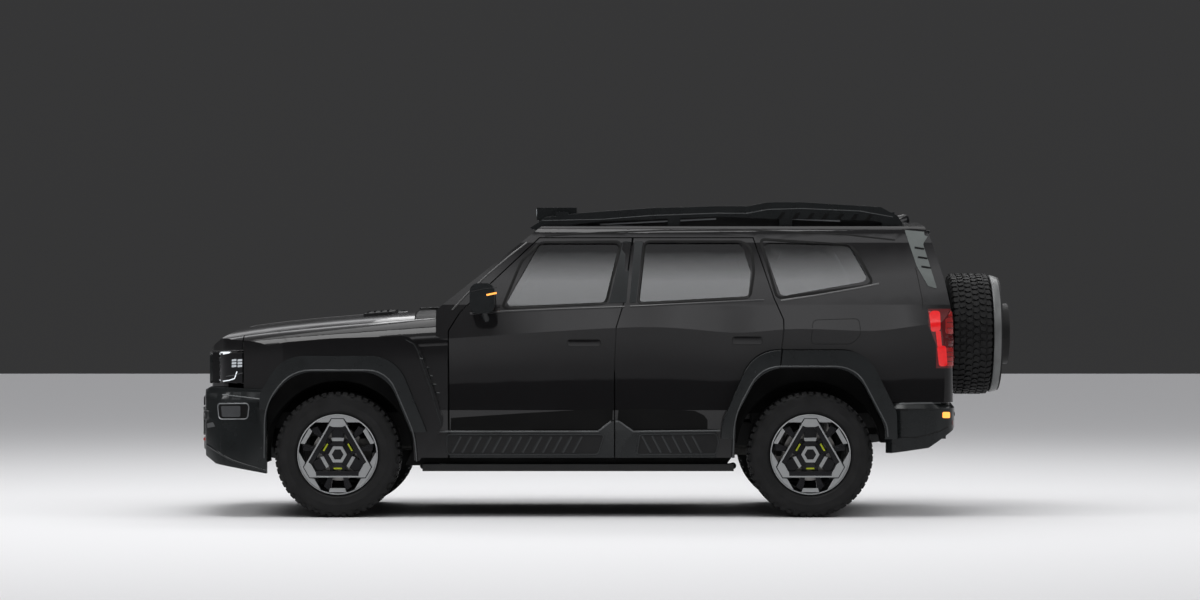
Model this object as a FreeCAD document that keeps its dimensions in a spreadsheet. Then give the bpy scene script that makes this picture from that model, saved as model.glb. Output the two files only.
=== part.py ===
"""Lifted off-road 4x4: a five-door station wagon on a ladder frame, with its spare wheel on the tailgate.

Millimetres. +X points to the rear, +Z up, and the left side is at -Y. The origin is on the ground under the
middle of the whole length. Outlines in side view are shares of the wheelbase (along, from the point midway
between the axles) and of the roof height (up); wheel openings are shares of the tyre's radius from its centre.
"""

import FreeCAD, Part
import math
import os
import re
from types import SimpleNamespace

Vector = FreeCAD.Vector
X_AXIS = Vector(1, 0, 0)
Y_AXIS = Vector(0, 1, 0)
Z_AXIS = Vector(0, 0, 1)
CENTRE = Vector(0, 0, 0)
QUARTER_TURN = 90

# Driving dimensions: one row of the sheet each
SIZES = {
    "wheelbase": 2910,
    "front_overhang": 928,
    "rear_reach": 1321,
    "roof_height": 1756,
    "body_half_width": 932,
    "track": 1635,
    "tyre_radius": 387.5,
    "tyre_width": 265,
    "tyre_lugs": 24,
    "lug_notch": 8,
    "flatness": 0.001,
    "frame_near": 95,
    "frame_depth": 21,
    "frame_radius": 282,
    "frame_inner_radius": 214,
    "frame_corner_radius": 216,
    "segment_radius": 388,
    "cap_radius": 57,
    "tyre_shoulder": 26,
    "rim_radius": 248,
    "rim_wall": 14,
    "rim_lip": 9,
    "rim_width": 238,
    "hub_radius": 70,
    "hub_face_inset": 30,
    "spoke_depth": 34,
    "spoke_inset": 24,
    "spindle_radius": 28,
    "spindle_play": 0.3,
    "disc_radius": 165,
    "disc_thickness": 24,
    "disc_inset": 118,
    "brake_play": 6,
    "caliper_width": 78,
    "caliper_length": 190,
    "caliper_wall": 16,
    "knuckle_thickness": 46,
    "knuckle_width": 84,
    "knuckle_height": 232,
    "kingpin_inset": 40,
    "wheel_sweep": 440,
    "door_gap": 7,
    "door_gap_top": 12,
    "door_lip": 26,
    "door_step": 15,
    "door_wall": 92,
    "frame_wall": 46,
    "roof_wall": 36,
    "gate_wall": 96,
    "gate_half_width": 742,
    "rear_corner_radius": 140,
    "gate_bottom": 735,
    "gate_hinge_radius": 9.9,
    "gate_hinge_length": 46,
    "gate_hinge_leaf": 46,
    "gate_hinge_pitch": 104,
    "post_wall": 48,
    "post_width": 96,
    "sill_height": 168,
    "sill_bottom": 384,
    "door_clearance": 6.5,
    "panel_seat": 0.3,
    "hood_wall": 38,
    "hood_hinge_y": 690,
    "fender_wall": 52,
    "hood_half_width": 782,
    "roof_half_width": 686,
    "window_radius": 34,
    "glass_inset": 9,
    "glass_thickness": 5,
    "cladding_thickness": 14,
    "flare_reach": 988,
    "blister_reach": 948,
    "liner_radius": 452,
    "liner_wall": 8,
    "front_liner_inner": 485,
    "rear_liner_inner": 655,
    "liner_outer": 848,
    "rear_liner_outer": 780,
    "liner_flange": 108,
    "rail_width": 80,
    "rail_height": 140,
    "rail_spacing": 860,
    "rail_bottom": 430,
    "engine_lift": 50,
    "rail_kick": 110,
    "bracket": 40,
    "mount_height": 30,
    "mount_radius": 36,
    "cross_tube_radius": 38,
    "rock_rail_width": 70,
    "rock_rail_height": 42,
    "rock_rail_bottom": 284,
    "rock_rail_reach": 905,
    "floor_height": 600,
    "floor_thickness": 30,
    "floor_half_width": 690,
    "rear_floor_half": 648,
    "screen_half": 610,
    "rear_floor_rise": 110,
    "axle_tube_radius": 42,
    "diff_radius": 125,
    "diff_length": 210,
    "spring_radius": 58,
    "arm_thickness": 34,
    "arm_width": 90,
    "arm_tip_width": 56,
    "subframe_height": 130,
    "subframe_length": 320,
    "ball_radius": 16,
    "engine_length": 640,
    "engine_width": 560,
    "engine_height": 500,
    "gearbox_length": 900,
    "gearbox_width": 340,
    "tank_length": 660,
    "tank_width": 330,
    "tank_height": 190,
    "pipe_radius": 28,
    "muffler_radius": 90,
    "muffler_length": 520,
    "seat_width": 510,
    "seat_depth": 500,
    "seat_spacing": 760,
    "bench_width": 1240,
    "dash_half_width": 740,
    "steer_wheel_radius": 188,
    "steer_rim_radius": 15,
    "steer_hub_radius": 48,
    "steer_column_radius": 22,
    "steer_play": 6,
    "mirror_width": 175,
    "mirror_height": 185,
    "mirror_depth": 150,
    "mirror_arm_radius": 26,
    "rack_half_width": 600,
    "rack_tube_width": 46,
    "rack_bar_width": 60,
    "rack_plate": 22,
    "rack_foot_width": 40,
    "rack_level": 1868,
    "light_bar_half": 430,
    "light_bar_height": 56,
    "spare_height": 1129,
    "spare_gap": 36,
    "cover_depth": 60,
    "hub_depth": 62,
    "carrier_width": 300,
    "carrier_height": 430,
    "plate_width": 440,
    "plate_height": 180,
    "hitch_tube": 50,
    "hitch_wall": 6,
    "bumper_radius": 160,
    "bumper_wall": 70,
    "bumper_lean": 26,
    "bumper_shelf": 16,
    "lamp_inner": 560,
    "lamp_room_half": 700,
    "tail_lamp_inner": 752,
    "overrun": 60,
}

doc = FreeCAD.newDocument("offroad_4x4")
sheet = doc.addObject("Spreadsheet::Sheet", "sizes")
for row, (alias, value) in enumerate(SIZES.items(), start=1):
    sheet.set(f"A{row}", alias)
    sheet.set(f"B{row}", str(value))
    sheet.setAlias(f"B{row}", alias)
doc.recompute()
S = SimpleNamespace(**{alias: float(sheet.get(alias)) for alias in SIZES})

# Places worked out from the driving dimensions
FRONT_X = -(S.front_overhang + S.wheelbase + S.rear_reach) / 2
FRONT_AXLE_X = FRONT_X + S.front_overhang
REAR_AXLE_X = FRONT_AXLE_X + S.wheelbase
MID_X = (FRONT_AXLE_X + REAR_AXLE_X) / 2
AXLE_Z = S.tyre_radius
WHEEL_Y = S.track / 2
KINGPIN_Y = WHEEL_Y - S.kingpin_inset
TYRE_OUT_Y = WHEEL_Y + S.tyre_width / 2
FLOOR_TOP = S.floor_height + S.floor_thickness

# Sections of the cabin, as shares of the body's half width and of the roof height
SECTION_LOW_SHARES = ((0.971, 0.165), (0.974, 0.3035), (0.9925, 0.3759))
SECTION_DOOR_SHARES = ((0.9925, 0.0), (0.987, 0.344), (0.991, 0.747), (1.0, 1.0))
SECTION_BELT_SHARE = (0.944, 0.746)
SECTION_GLASS_SHARES = ((0.944, 0.746), (0.873, 0.86), (0.792, 0.966))
SECTION_RAIL_SHARES = ((0.792, 0.966), (0.777, 0.990), (0.760, 1.010), (0.735, 1.024))
SECTION_CROWN_SHARES = ((0.735, 1.024), (0.4, 1.042), (0.0, 1.049))

# Stations along the cabin: place, width and the height of the crease below the windows
CABIN_STATION_SHARES = (
    (-0.31, 0.982, 0.6225), (-0.20, 0.9945, 0.634), (-0.11, 0.9995, 0.645), (0.0, 1.0, 0.6565),
    (0.0887, 1.0, 0.6645), (0.1923, 1.0, 0.666), (0.279, 1.0, 0.655), (0.3466, 1.0, 0.6475),
    (0.4438, 1.0, 0.659), (0.56, 0.9985, 0.657), (0.651, 0.992, 0.656), (0.746, 0.9735, 0.676), (0.83, 0.945, 0.695),
)
REAR_EDGE = 1
REAR_PLAN_SHARES = ((-0.5, 1.2), (0.60, 1.003), (0.72, 0.984), (0.8069, 0.958))

# The cabin in side view
CABIN_PROFILE_SHARES = (
    (-0.2928, 0.19), (0.80, 0.19), (0.8069, 0.30), (0.8069, 0.598), (0.8024, 0.712), (0.789, 0.826),
    (0.761, 0.982), (0.734, 1.08), (-0.0285, 1.08), (-0.2928, 0.7272),
)

# The front end's sections: along, shoulder, hood edge and hood middle
FRONT_STATION_SHARES = (
    (-0.80, 0.583, 0.610, 0.640),
    (-0.66, 0.613, 0.6475, 0.680),
    (-0.52, 0.630, 0.670, 0.7045),
    (-0.38, 0.6435, 0.690, 0.7225),
    (-0.24, 0.655, 0.708, 0.733),
)
FRONT_WIDTH_SHARE = 0.985
NOSE_PROFILE_SHARES = (
    (-0.787, 0.16), (-0.2, 0.16), (-0.2, 0.80), (-0.61, 0.80), (-0.70, 0.671), (-0.745, 0.636), (-0.787, 0.583),
)
NOSE_RADIUS_SHARES = (0, 0, 0, 0, 0.12, 0.2, 0.05)
NOSE_PLAN_SHARES = (
    (-0.787, -0.30), (-0.776, -0.70), (-0.735, -0.90), (-0.62, -1.0), (-0.2, -1.01),
    (-0.2, 1.01), (-0.62, 1.0), (-0.735, 0.90), (-0.776, 0.70), (-0.787, 0.30),
)
NOSE_PLAN_RADIUS_SHARES = (0.5, 0.12, 0.2, 0.4, 0, 0, 0.4, 0.2, 0.12, 0.5)
HOOD_FRONT_SHARE = -0.80
HOOD_BRACKET_SHARE = 0.64
HOOD_REAR_SHARE = -0.3402
HOOD_FLOOR_SHARES = ((-0.80, 0.584), (-0.70, 0.587), (-0.60, 0.615), (-0.33, 0.655))
FENDER_FRONT_SHARE = -0.7008
NOSE_SHARES = ((-0.80, 0.458), (-0.735, 0.452), (-0.735, 0.580), (-0.80, 0.580))
LAMP_SHARES = ((-0.80, 0.470), (-0.7035, 0.470), (-0.7035, 0.578), (-0.80, 0.578))
LAMP_ROOM_SHARE = -0.745

# Doors and windows in side view
FRONT_DOOR_SHARES = (
    (-0.2629, 0.209), (0.0845, 0.209), (0.0845, 0.5456), (0.0876, 0.6646), (0.1034, 0.7483),
    (0.1227, 0.9815), (-0.0739, 0.9815), (-0.2405, 0.7187), (-0.2649, 0.6538),
)
FRONT_DOOR_REAR_SHARES = FRONT_DOOR_SHARES[1:6]
REAR_DOOR_REST_SHARES = (
    (0.3808, 0.9815), (0.4227, 0.7694), (0.4426, 0.6925), (0.4426, 0.6612), (0.434, 0.5171), (0.434, 0.209),
)
FRONT_WINDOW_SHARES = ((-0.150, 0.7346), (0.0705, 0.7483), (0.0993, 0.9629), (-0.0739, 0.9629))
REAR_WINDOW_SHARES = ((0.1354, 0.7483), (0.3694, 0.7694), (0.3763, 0.8656), (0.3557, 0.9652), (0.1502, 0.9652))
QUARTER_WINDOW_SHARES = ((0.439, 0.7752), (0.6278, 0.8309), (0.5856, 0.959), (0.4005, 0.967))
WINDSHIELD_SHARES = ((0.80, 0.738), (0.66, 1.0))
GATE_WINDOW_SHARES = ((0.63, 0.765), (0.56, 0.93))
GATE_SHARES = ((0.735, 0.70), (0.69, 0.958))
CLADDING_SHARES = ((-0.31, 0.209), (0.0505, 0.209), (0.0505, 0.3035), (-0.31, 0.3035))
PEAK_SHARES = (
    (0.0505, 0.209), (0.30, 0.209), (0.30, 0.3035), (0.1267, 0.3035), (0.0929, 0.3388), (0.0802, 0.3388),
    (0.0505, 0.3035),
)

LUG_STEPS = 3

# Wheel openings, flares and the bulge above the front wheel: shares of the tyre's radius, with a corner radius
FRONT_OPENING_SHARES = (
    (-1.13, -1.1, 0), (1.27, -1.1, 0), (1.20, 0.30, 0.5), (0.78, 1.315, 0.6), (-0.70, 1.315, 0.75), (-1.13, 0.78, 0.3),
)
FRONT_FLARE_SHARES = (
    (-1.3, -1.1, 0), (1.55, -1.1, 0), (1.42, 0.37, 0.4), (0.93, 1.565, 0.6), (-0.86, 1.565, 0.75), (-1.22, 0.98, 0.3),
)
BLISTER_SHARES = (
    (-1.52, 1.10, 0), (-1.2, 0.2, 0), (1.3, -0.1, 0), (1.62, 0.36, 0.1), (1.69, 0.52, 0.1), (1.30, 1.72, 0.5),
    (1.13, 1.885, 0.3), (-0.10, 1.845, 1.2), (-0.82, 1.785, 1.2), (-1.52, 1.645, 0),
)
BLISTER_PLAN_SHARES = ((-0.7008, 0.86), (-0.7008, 0.905), (-0.615, 1.0173), (-0.2, 1.0173), (-0.2, 0.86))
FRONT_FLARE_CUT_SHARES = ((-1.3, -1.3), (1.6, -1.3), (1.6, 0.36), (1.2, 0.36), (0, 0.9), (-1.0, 0.72), (-1.3, 0.72))
REAR_OPENING_SHARES = (
    (-1.22, -1.1, 0), (1.22, -1.1, 0), (1.18, 0.45, 0.5), (0.70, 1.375, 0.6), (-0.78, 1.375, 0.6), (-1.19, 0.60, 0.5),
)
REAR_FLARE_SHARES = (
    (-1.5, -1.1, 0), (1.4, -1.1, 0), (1.36, 0.68, 0.4), (0.88, 1.655, 0.6), (-0.90, 1.655, 0.6), (-1.41, 0.5, 0.4),
)


# Outlines and solids

def side(shares):
    """Places in side view from shares of the wheelbase and of the roof height."""
    return [(MID_X + along * S.wheelbase, up * S.roof_height) for along, up in shares]


def along(share):
    """A place along the vehicle from a share of the wheelbase."""
    return MID_X + share * S.wheelbase


def around(axle_x, shares):
    """Places round a wheel from shares of the tyre's radius, and the corner radii."""
    places = [(axle_x + entry[0] * S.tyre_radius, AXLE_Z + entry[1] * S.tyre_radius) for entry in shares]
    radii = [entry[2] * S.tyre_radius if len(entry) > 2 else 0 for entry in shares]
    return places, radii


REACH_SHARE = 0.48


def rounded_wire(corners, radii):
    """A closed wire through corners in one plane, each turned by an arc as large as its radius and its edges."""
    count = len(corners)
    turns = []
    for index, corner in enumerate(corners):
        back = (corners[index - 1] - corner).normalize()
        ahead = (corners[(index + 1) % count] - corner).normalize()
        radius = radii[index]
        if radius == 0:
            turns.append((corner, corner, corner))
            continue
        half = back.getAngle(ahead) / 2
        shortest = min((corners[index - 1] - corner).Length, (corners[(index + 1) % count] - corner).Length)
        reach = min(radius / math.tan(half), shortest * REACH_SHARE)
        radius = reach * math.tan(half)
        middle = (back + ahead).normalize()
        nearest = corner + middle * (radius / math.sin(half) - radius)
        turns.append((corner + back * reach, nearest, corner + ahead * reach))
    edges = []
    for index, (start, nearest, end) in enumerate(turns):
        if start != end:
            edges.append(Part.Arc(start, nearest, end).toShape())
        following = turns[(index + 1) % count][0]
        if (following - end).Length > 0:
            edges.append(Part.makeLine(end, following))
    return Part.Wire(Part.__sortEdges__(edges))


def side_prism(places, low_y, high_y, radii=0):
    """A solid with the side view's outline, from one y to another."""
    corners = [Vector(x, low_y, z) for x, z in places]
    if not hasattr(radii, "__len__"):
        radii = [radii] * len(corners)
    return Part.Face(rounded_wire(corners, radii)).extrude(Vector(0, high_y - low_y, 0))


def end_prism(places, low_x, high_x, radii=0):
    """A solid with an outline seen from the front (y, z), from one x to another."""
    corners = [Vector(low_x, y, z) for y, z in places]
    if not hasattr(radii, "__len__"):
        radii = [radii] * len(corners)
    return Part.Face(rounded_wire(corners, radii)).extrude(Vector(high_x - low_x, 0, 0))


def plan_prism(places, low_z, high_z, radii=0):
    """A solid with an outline seen from above (x, y), from one z to another."""
    corners = [Vector(x, y, low_z) for x, y in places]
    if not hasattr(radii, "__len__"):
        radii = [radii] * len(corners)
    return Part.Face(rounded_wire(corners, radii)).extrude(Vector(0, 0, high_z - low_z))


def block(low, high):
    """A box from its lowest to its highest corner."""
    return Part.makeBox(high[0] - low[0], high[1] - low[1], high[2] - low[2], Vector(*low))


def mirrored(shape):
    """The same shape on the other side of the vehicle."""
    return shape.mirror(CENTRE, Y_AXIS)


def pair(shape):
    """A shape of the left side with its mirror image, as separate solids."""
    return Part.makeCompound([*shape.Solids, *mirrored(shape).Solids])


def united(*shapes):
    """One solid from several that meet."""
    whole = shapes[0].fuse(list(shapes[1:]))
    return whole.removeSplitter()


def inset_outline(places, insets):
    """An anticlockwise outline with each edge, from its corner on, moved inwards by its own distance."""
    count = len(places)
    lines = []
    for index, (x, z) in enumerate(places):
        next_x, next_z = places[(index + 1) % count]
        length = math.hypot(next_x - x, next_z - z)
        run = ((next_x - x) / length, (next_z - z) / length)
        shift = insets[index]
        lines.append((x - run[1] * shift, z + run[0] * shift, run))
    moved = []
    for index, (x, z, run) in enumerate(lines):
        last_x, last_z, last_run = lines[index - 1]
        cross = last_run[0] * run[1] - last_run[1] * run[0]
        step = ((x - last_x) * run[1] - (z - last_z) * run[0]) / cross
        moved.append((last_x + last_run[0] * step, last_z + last_run[1] * step))
    return moved


def curve(points):
    """A smooth edge through points."""
    line = Part.BSplineCurve()
    line.interpolate(points)
    return line.toShape()


def add(label, shape):
    """A sub-part whose shape is made here."""
    piece = doc.addObject("Part::Feature", label)
    piece.Label = label
    piece.Shape = shape
    piece.Placement = FreeCAD.Placement()
    return piece


def bound(text):
    """An expression with every name in it read from the sheet."""
    return re.sub(r"[a-z][a-z_]*", lambda found: "sizes." + found.group(0), text)


def primitive(kind, label, place, turn=None, **bindings):
    """A primitive whose sizes and place are expressions on the sheet."""
    piece = doc.addObject("Part::" + kind, label)
    if turn:
        piece.Placement = FreeCAD.Placement(CENTRE, FreeCAD.Rotation(*turn))
    for name, text in bindings.items():
        piece.setExpression(name, bound(text))
    for axis, text in zip("xyz", place):
        piece.setExpression(f".Placement.Base.{axis}", bound(text))
    return piece


def fused(label, pieces):
    """A sub-part made of pieces that meet."""
    whole = doc.addObject("Part::MultiFuse", label)
    whole.Label = label
    whole.Shapes = pieces
    whole.Refine = True
    return whole


def cut(label, base, tool):
    """A sub-part or a step of one: base without tool."""
    piece = doc.addObject("Part::Cut", label)
    piece.Label = label
    piece.Base = base
    piece.Tool = tool
    return piece


# The body's outer forms

def cabin_section(x, width_share, crease, low_inset, high_inset, top_inset):
    """A closed section across the cabin, moved inwards from the outside."""
    half = S.body_half_width * width_share
    sill = SECTION_LOW_SHARES[-1][1]
    door_shares = [(across, sill + rise * (crease - sill)) for across, rise in SECTION_DOOR_SHARES]

    def place(shares, inset, drop=0):
        return [Vector(x, half * across - inset, up * S.roof_height - drop) for across, up in shares]

    low = place(SECTION_LOW_SHARES, low_inset)
    door = place(door_shares, low_inset)
    belt = place([SECTION_BELT_SHARE], high_inset)
    glass = place(SECTION_GLASS_SHARES, high_inset, top_inset / 2)
    glass[0] = belt[0]
    rail = place(SECTION_RAIL_SHARES, high_inset, top_inset)
    rail[0] = glass[-1]
    crown = [Vector(x, half * across, up * S.roof_height - top_inset) for across, up in SECTION_CROWN_SHARES]
    crown[0] = rail[-1]
    crown[-1] = Vector(x, 0, crown[-1].z)

    def other(points):
        return [Vector(point.x, -point.y, point.z) for point in reversed(points)]

    whole_crown = crown + other(crown)[1:]
    edges = [
        Part.makeLine(low[0], low[1]), Part.makeLine(low[1], low[2]), curve(door),
        Part.makeLine(door[-1], belt[0]), curve(glass), curve(rail), curve(whole_crown),
        curve(other(rail)), curve(other(glass)), Part.makeLine(other(belt)[0], other(door)[0]),
        curve(other(door)), Part.makeLine(other(low)[0], other(low)[1]),
        Part.makeLine(other(low)[1], other(low)[2]), Part.makeLine(other(low)[2], low[0]),
    ]
    return Part.Wire(edges)


def cabin_form(low_inset, high_inset, top_inset, profile_insets):
    """The cabin's closed outer form, moved inwards."""
    sections = [
        cabin_section(along(place), width, crease, low_inset, high_inset, top_inset)
        for place, width, crease in CABIN_STATION_SHARES
    ]
    loft = Part.makeLoft(sections, True, False)
    outline = inset_outline(side(CABIN_PROFILE_SHARES), profile_insets)
    form = loft.common(side_prism(outline, -S.body_half_width * 2, S.body_half_width * 2))
    near = [(along(x), -y * S.body_half_width) for x, y in REAR_PLAN_SHARES]
    far = [(x, -y) for x, y in reversed(near)]
    rear_inset = profile_insets[REAR_EDGE]
    shifts = [high_inset] * (len(near) - 1) + [rear_inset] + [high_inset] * (len(near) - 1) + [0]
    radius = max(S.rear_corner_radius - rear_inset, S.window_radius)
    radii = [0] * (len(near) - 1) + [radius, radius] + [0] * (len(near) - 1)
    return form.common(plan_prism(inset_outline([*near, *far], shifts), 0, S.roof_height * 2, radii))


def even_insets(inset):
    """The same inset for every edge of the cabin's profile."""
    return [inset] * len(CABIN_PROFILE_SHARES)


def profile_insets(front, rear, roof, bottom):
    """Insets of the cabin's profile: bottom, rear edges, roof, windshield and bulkhead."""
    return [bottom, rear, rear, rear, rear, rear, rear, roof, front, front]


def front_section(x, shoulder, edge, middle, inset, top_inset):
    """A closed section across the front end."""
    half = S.body_half_width * FRONT_WIDTH_SHARE
    rise = edge - shoulder
    crown = middle - edge

    def place(across, up):
        return Vector(x, half * across - inset, up * S.roof_height)

    def top(across, up):
        return Vector(x, half * across, up * S.roof_height - top_inset)

    low = [place(0.985, 0.14), place(0.985, 0.30), place(1.0, 0.376), place(1.0, shoulder - 0.05)]
    turn = [low[-1], place(0.99, shoulder - 0.012), place(0.955, shoulder + 0.30 * rise), top(0.85, edge)]
    hood = [turn[-1], top(0.78, edge + 0.42 * crown), top(0.6, edge + 0.8 * crown), Vector(x, 0, top(0, middle).z)]

    def other(points):
        return [Vector(point.x, -point.y, point.z) for point in reversed(points)]

    edges = [
        Part.makeLine(low[0], low[1]), Part.makeLine(low[1], low[2]), Part.makeLine(low[2], low[3]),
        curve(turn), curve(hood + other(hood)[1:]), curve(other(turn)),
        Part.makeLine(other(low)[0], other(low)[1]), Part.makeLine(other(low)[1], other(low)[2]),
        Part.makeLine(other(low)[2], other(low)[3]), Part.makeLine(other(low)[3], low[0]),
    ]
    return Part.Wire(edges)


def front_form(inset, top_inset):
    """The front end's closed outer form, moved inwards."""
    sections = [
        front_section(along(place), shoulder, edge, middle, inset, top_inset)
        for place, shoulder, edge, middle in FRONT_STATION_SHARES
    ]
    loft = Part.makeLoft(sections, True, False)
    profile = inset_outline(side(NOSE_PROFILE_SHARES), [inset] * len(NOSE_PROFILE_SHARES))
    radii = [share * S.wheelbase for share in NOSE_RADIUS_SHARES]
    plan = [(along(place), across * S.body_half_width) for place, across in NOSE_PLAN_SHARES]
    plan = inset_outline(plan, [inset] * len(plan))
    plan_radii = [share * S.body_half_width for share in NOSE_PLAN_RADIUS_SHARES]
    nose = side_prism(profile, -S.body_half_width * 2, S.body_half_width * 2, radii)
    return loft.common(nose).common(plan_prism(plan, 0, S.roof_height, plan_radii))


OUTER = cabin_form(0, 0, 0, even_insets(0))
DOOR_STEP = cabin_form(S.door_lip, S.door_lip, S.door_lip, even_insets(S.door_lip))
DOOR_INNER = cabin_form(S.door_wall, S.frame_wall, S.roof_wall,
                        profile_insets(S.frame_wall, S.gate_wall, S.roof_wall, 0))
POST_OUTER = cabin_form(S.door_wall + S.door_clearance, S.frame_wall + S.door_clearance, S.roof_wall,
                        profile_insets(S.frame_wall, S.gate_wall, S.roof_wall, 0))
POST_INNER = cabin_form(S.door_wall + S.post_wall, S.frame_wall + S.post_wall, S.roof_wall + S.post_wall,
                        profile_insets(S.frame_wall + S.post_wall, S.gate_wall, S.roof_wall + S.post_wall, 0))
FRONT_OUTER = front_form(0, 0)
FRONT_INNER = front_form(S.fender_wall, S.hood_wall)
LIP = OUTER.cut(DOOR_STEP)
WALL = OUTER.cut(DOOR_INNER)
POSTS = POST_OUTER.cut(POST_INNER)
WIDE = S.body_half_width * 2
LEFT = block((FRONT_X * 2, -WIDE, -S.overrun), (-FRONT_X * 2, 0, S.roof_height * 2))


def opening(axle_x, shares, low_y, high_y):
    """The solid that a wheel opening takes out of the left side."""
    places, radii = around(axle_x, shares)
    return side_prism(places, low_y, high_y, radii)


def wheel_room(axle_x):
    """The room that a steered wheel sweeps on the left side."""
    return Part.makeCylinder(S.wheel_sweep, WIDE, Vector(axle_x, -WIDE - S.front_liner_inner, AXLE_Z), Y_AXIS)


FRONT_OPENING = opening(FRONT_AXLE_X, FRONT_OPENING_SHARES, -WIDE, -S.front_liner_inner)
REAR_OPENING = opening(REAR_AXLE_X, REAR_OPENING_SHARES, -WIDE, -S.rear_liner_inner)


# Doors

def front_door_outline():
    """The left front door in side view."""
    return side(FRONT_DOOR_SHARES)


def rear_door_outline():
    """The left rear door in side view; its front edge follows the front door's rear edge."""
    edge = side(FRONT_DOOR_REAR_SHARES)
    front = [(x + S.door_gap, z) for x, z in edge[:-1]]
    front.append((edge[-1][0] + S.door_gap_top, edge[-1][1]))
    return [front[0], *reversed(side(REAR_DOOR_REST_SHARES)), *reversed(front[1:])]


def door_solid(outline, window):
    """A door: an outer lip with the full outline, and an inner case that stands back from its edges."""
    lip = LIP.common(side_prism(outline, -WIDE, -S.roof_half_width))
    case_outline = inset_outline(outline, [S.door_step] * len(outline))
    case = DOOR_STEP.cut(DOOR_INNER).common(side_prism(case_outline, -WIDE, -S.roof_half_width))
    whole = lip.fuse(case).cut(side_prism(window, -WIDE, 0, S.window_radius))
    return whole.cut(REAR_OPENING).removeSplitter()


GLASS_LAYER = cabin_form(*[S.glass_inset] * 3, even_insets(S.glass_inset)).cut(
    cabin_form(*[S.glass_inset + S.glass_thickness] * 3, even_insets(S.glass_inset + S.glass_thickness)))


def pane(window, radius):
    """A window pane of the left side, flush in its frame."""
    outline = inset_outline(window, [S.panel_seat] * len(window))
    return GLASS_LAYER.common(side_prism(outline, -WIDE, 0, radius - S.panel_seat))


def make_doors():
    """Four doors with their panes; the right ones mirror the left ones."""
    front = door_solid(front_door_outline(), side(FRONT_WINDOW_SHARES))
    rear = door_solid(rear_door_outline(), side(REAR_WINDOW_SHARES))
    front_pane = pane(side(FRONT_WINDOW_SHARES), S.window_radius)
    rear_pane = pane(side(REAR_WINDOW_SHARES), S.window_radius)
    for place, door, glass in (("front", front, front_pane), ("rear", rear, rear_pane)):
        add(f"door_{place}_left", door)
        add(f"door_{place}_right", mirrored(door))
        add(f"door_glass_{place}_left", glass)
        add(f"door_glass_{place}_right", mirrored(glass))
    return front, rear


def make_cladding():
    """Lower cladding on each door, the door's share of the rear wheel flare, and the mirror on the front one."""
    outside = cabin_form(-S.cladding_thickness, -S.cladding_thickness, 0, even_insets(0))
    skin = outside.cut(OUTER)
    band = side_prism(side(CLADDING_SHARES), -WIDE, 0)
    peak = side_prism(side(PEAK_SHARES), -WIDE, 0)
    front = skin.common(side_prism(front_door_outline(), -WIDE, 0)).common(band.fuse(peak))
    rear_outline = rear_door_outline()
    rear_skin = skin.common(side_prism(rear_outline, -WIDE, 0)).common(band.fuse(peak)).cut(REAR_OPENING)
    flare = rear_flare().common(side_prism(rear_outline, -WIDE, 0))
    rear = rear_skin.fuse(flare).removeSplitter()
    mirror = mirror_solid()
    add("trim_front_left", Part.makeCompound([*front.Solids, *mirror.Solids]))
    add("trim_front_right", mirrored(Part.makeCompound([*front.Solids, *mirror.Solids])))
    add("trim_rear_left", rear)
    add("trim_rear_right", mirrored(rear))


MIRROR_SHARES = (-0.193, 0.7675)
MIRROR_ARM_SHARES = (-0.185, 0.692)


def mirror_solid():
    """The left door mirror: a rounded housing on an arm that stands on the door below the window's corner."""
    centre_x, centre_z = side([MIRROR_SHARES])[0]
    foot_x, foot_z = side([MIRROR_ARM_SHARES])[0]
    middle_y = -S.body_half_width - S.mirror_width / 2 + S.mirror_arm_radius
    half_depth = S.mirror_depth / 2
    half_height = S.mirror_height / 2
    outline = [(centre_x - half_depth, centre_z - half_height), (centre_x + half_depth, centre_z - half_height),
               (centre_x + half_depth, centre_z + half_height), (centre_x - half_depth, centre_z + half_height)]
    housing = side_prism(outline, middle_y - S.mirror_width / 2, middle_y + S.mirror_width / 2,
                         S.mirror_depth / 3)
    arm_top = Vector(centre_x, middle_y + S.mirror_width / 4, centre_z - half_height / 2)
    arm_foot = Vector(foot_x, -S.body_half_width + S.mirror_arm_radius * 2, foot_z)
    run = arm_top - arm_foot
    arm = Part.makeCylinder(S.mirror_arm_radius, run.Length, arm_foot, run)
    return housing.fuse(arm).cut(OUTER).removeSplitter()


# Body panels

def front_flare():
    """The left front flare: a thick dark lip round the wheel opening, outside the bulge."""
    places, radii = around(FRONT_AXLE_X, FRONT_FLARE_SHARES)
    inner = S.body_half_width * FRONT_WIDTH_SHARE - S.fender_wall / 2
    ring = side_prism(places, -S.flare_reach, -inner, radii)
    keep, _ = around(FRONT_AXLE_X, FRONT_FLARE_CUT_SHARES)
    return ring.cut(FRONT_OPENING).cut(side_prism(keep, -WIDE, 0))


def rear_flare():
    """The whole left rear flare, before it is parted at the door's edge."""
    places, radii = around(REAR_AXLE_X, REAR_FLARE_SHARES)
    ring = side_prism(places, -S.flare_reach, -S.body_half_width * SECTION_LOW_SHARES[0][0], radii)
    low = AXLE_Z + S.tyre_radius / 4
    return ring.cut(REAR_OPENING).cut(OUTER).cut(block((FRONT_X * 2, -WIDE, -S.overrun), (-FRONT_X * 2, 0, low)))


def blister():
    """The body-coloured bulge over the left front wheel."""
    places, radii = around(FRONT_AXLE_X, BLISTER_SHARES)
    inner = S.body_half_width * FRONT_WIDTH_SHARE - S.fender_wall / 2
    bulge = side_prism(places, -S.blister_reach, -inner, radii)
    outline = [(x, -y) for x, y in plan(BLISTER_PLAN_SHARES)]
    return bulge.common(plan_prism(outline[::-1], 0, S.roof_height)).cut(FRONT_OPENING)


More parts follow.
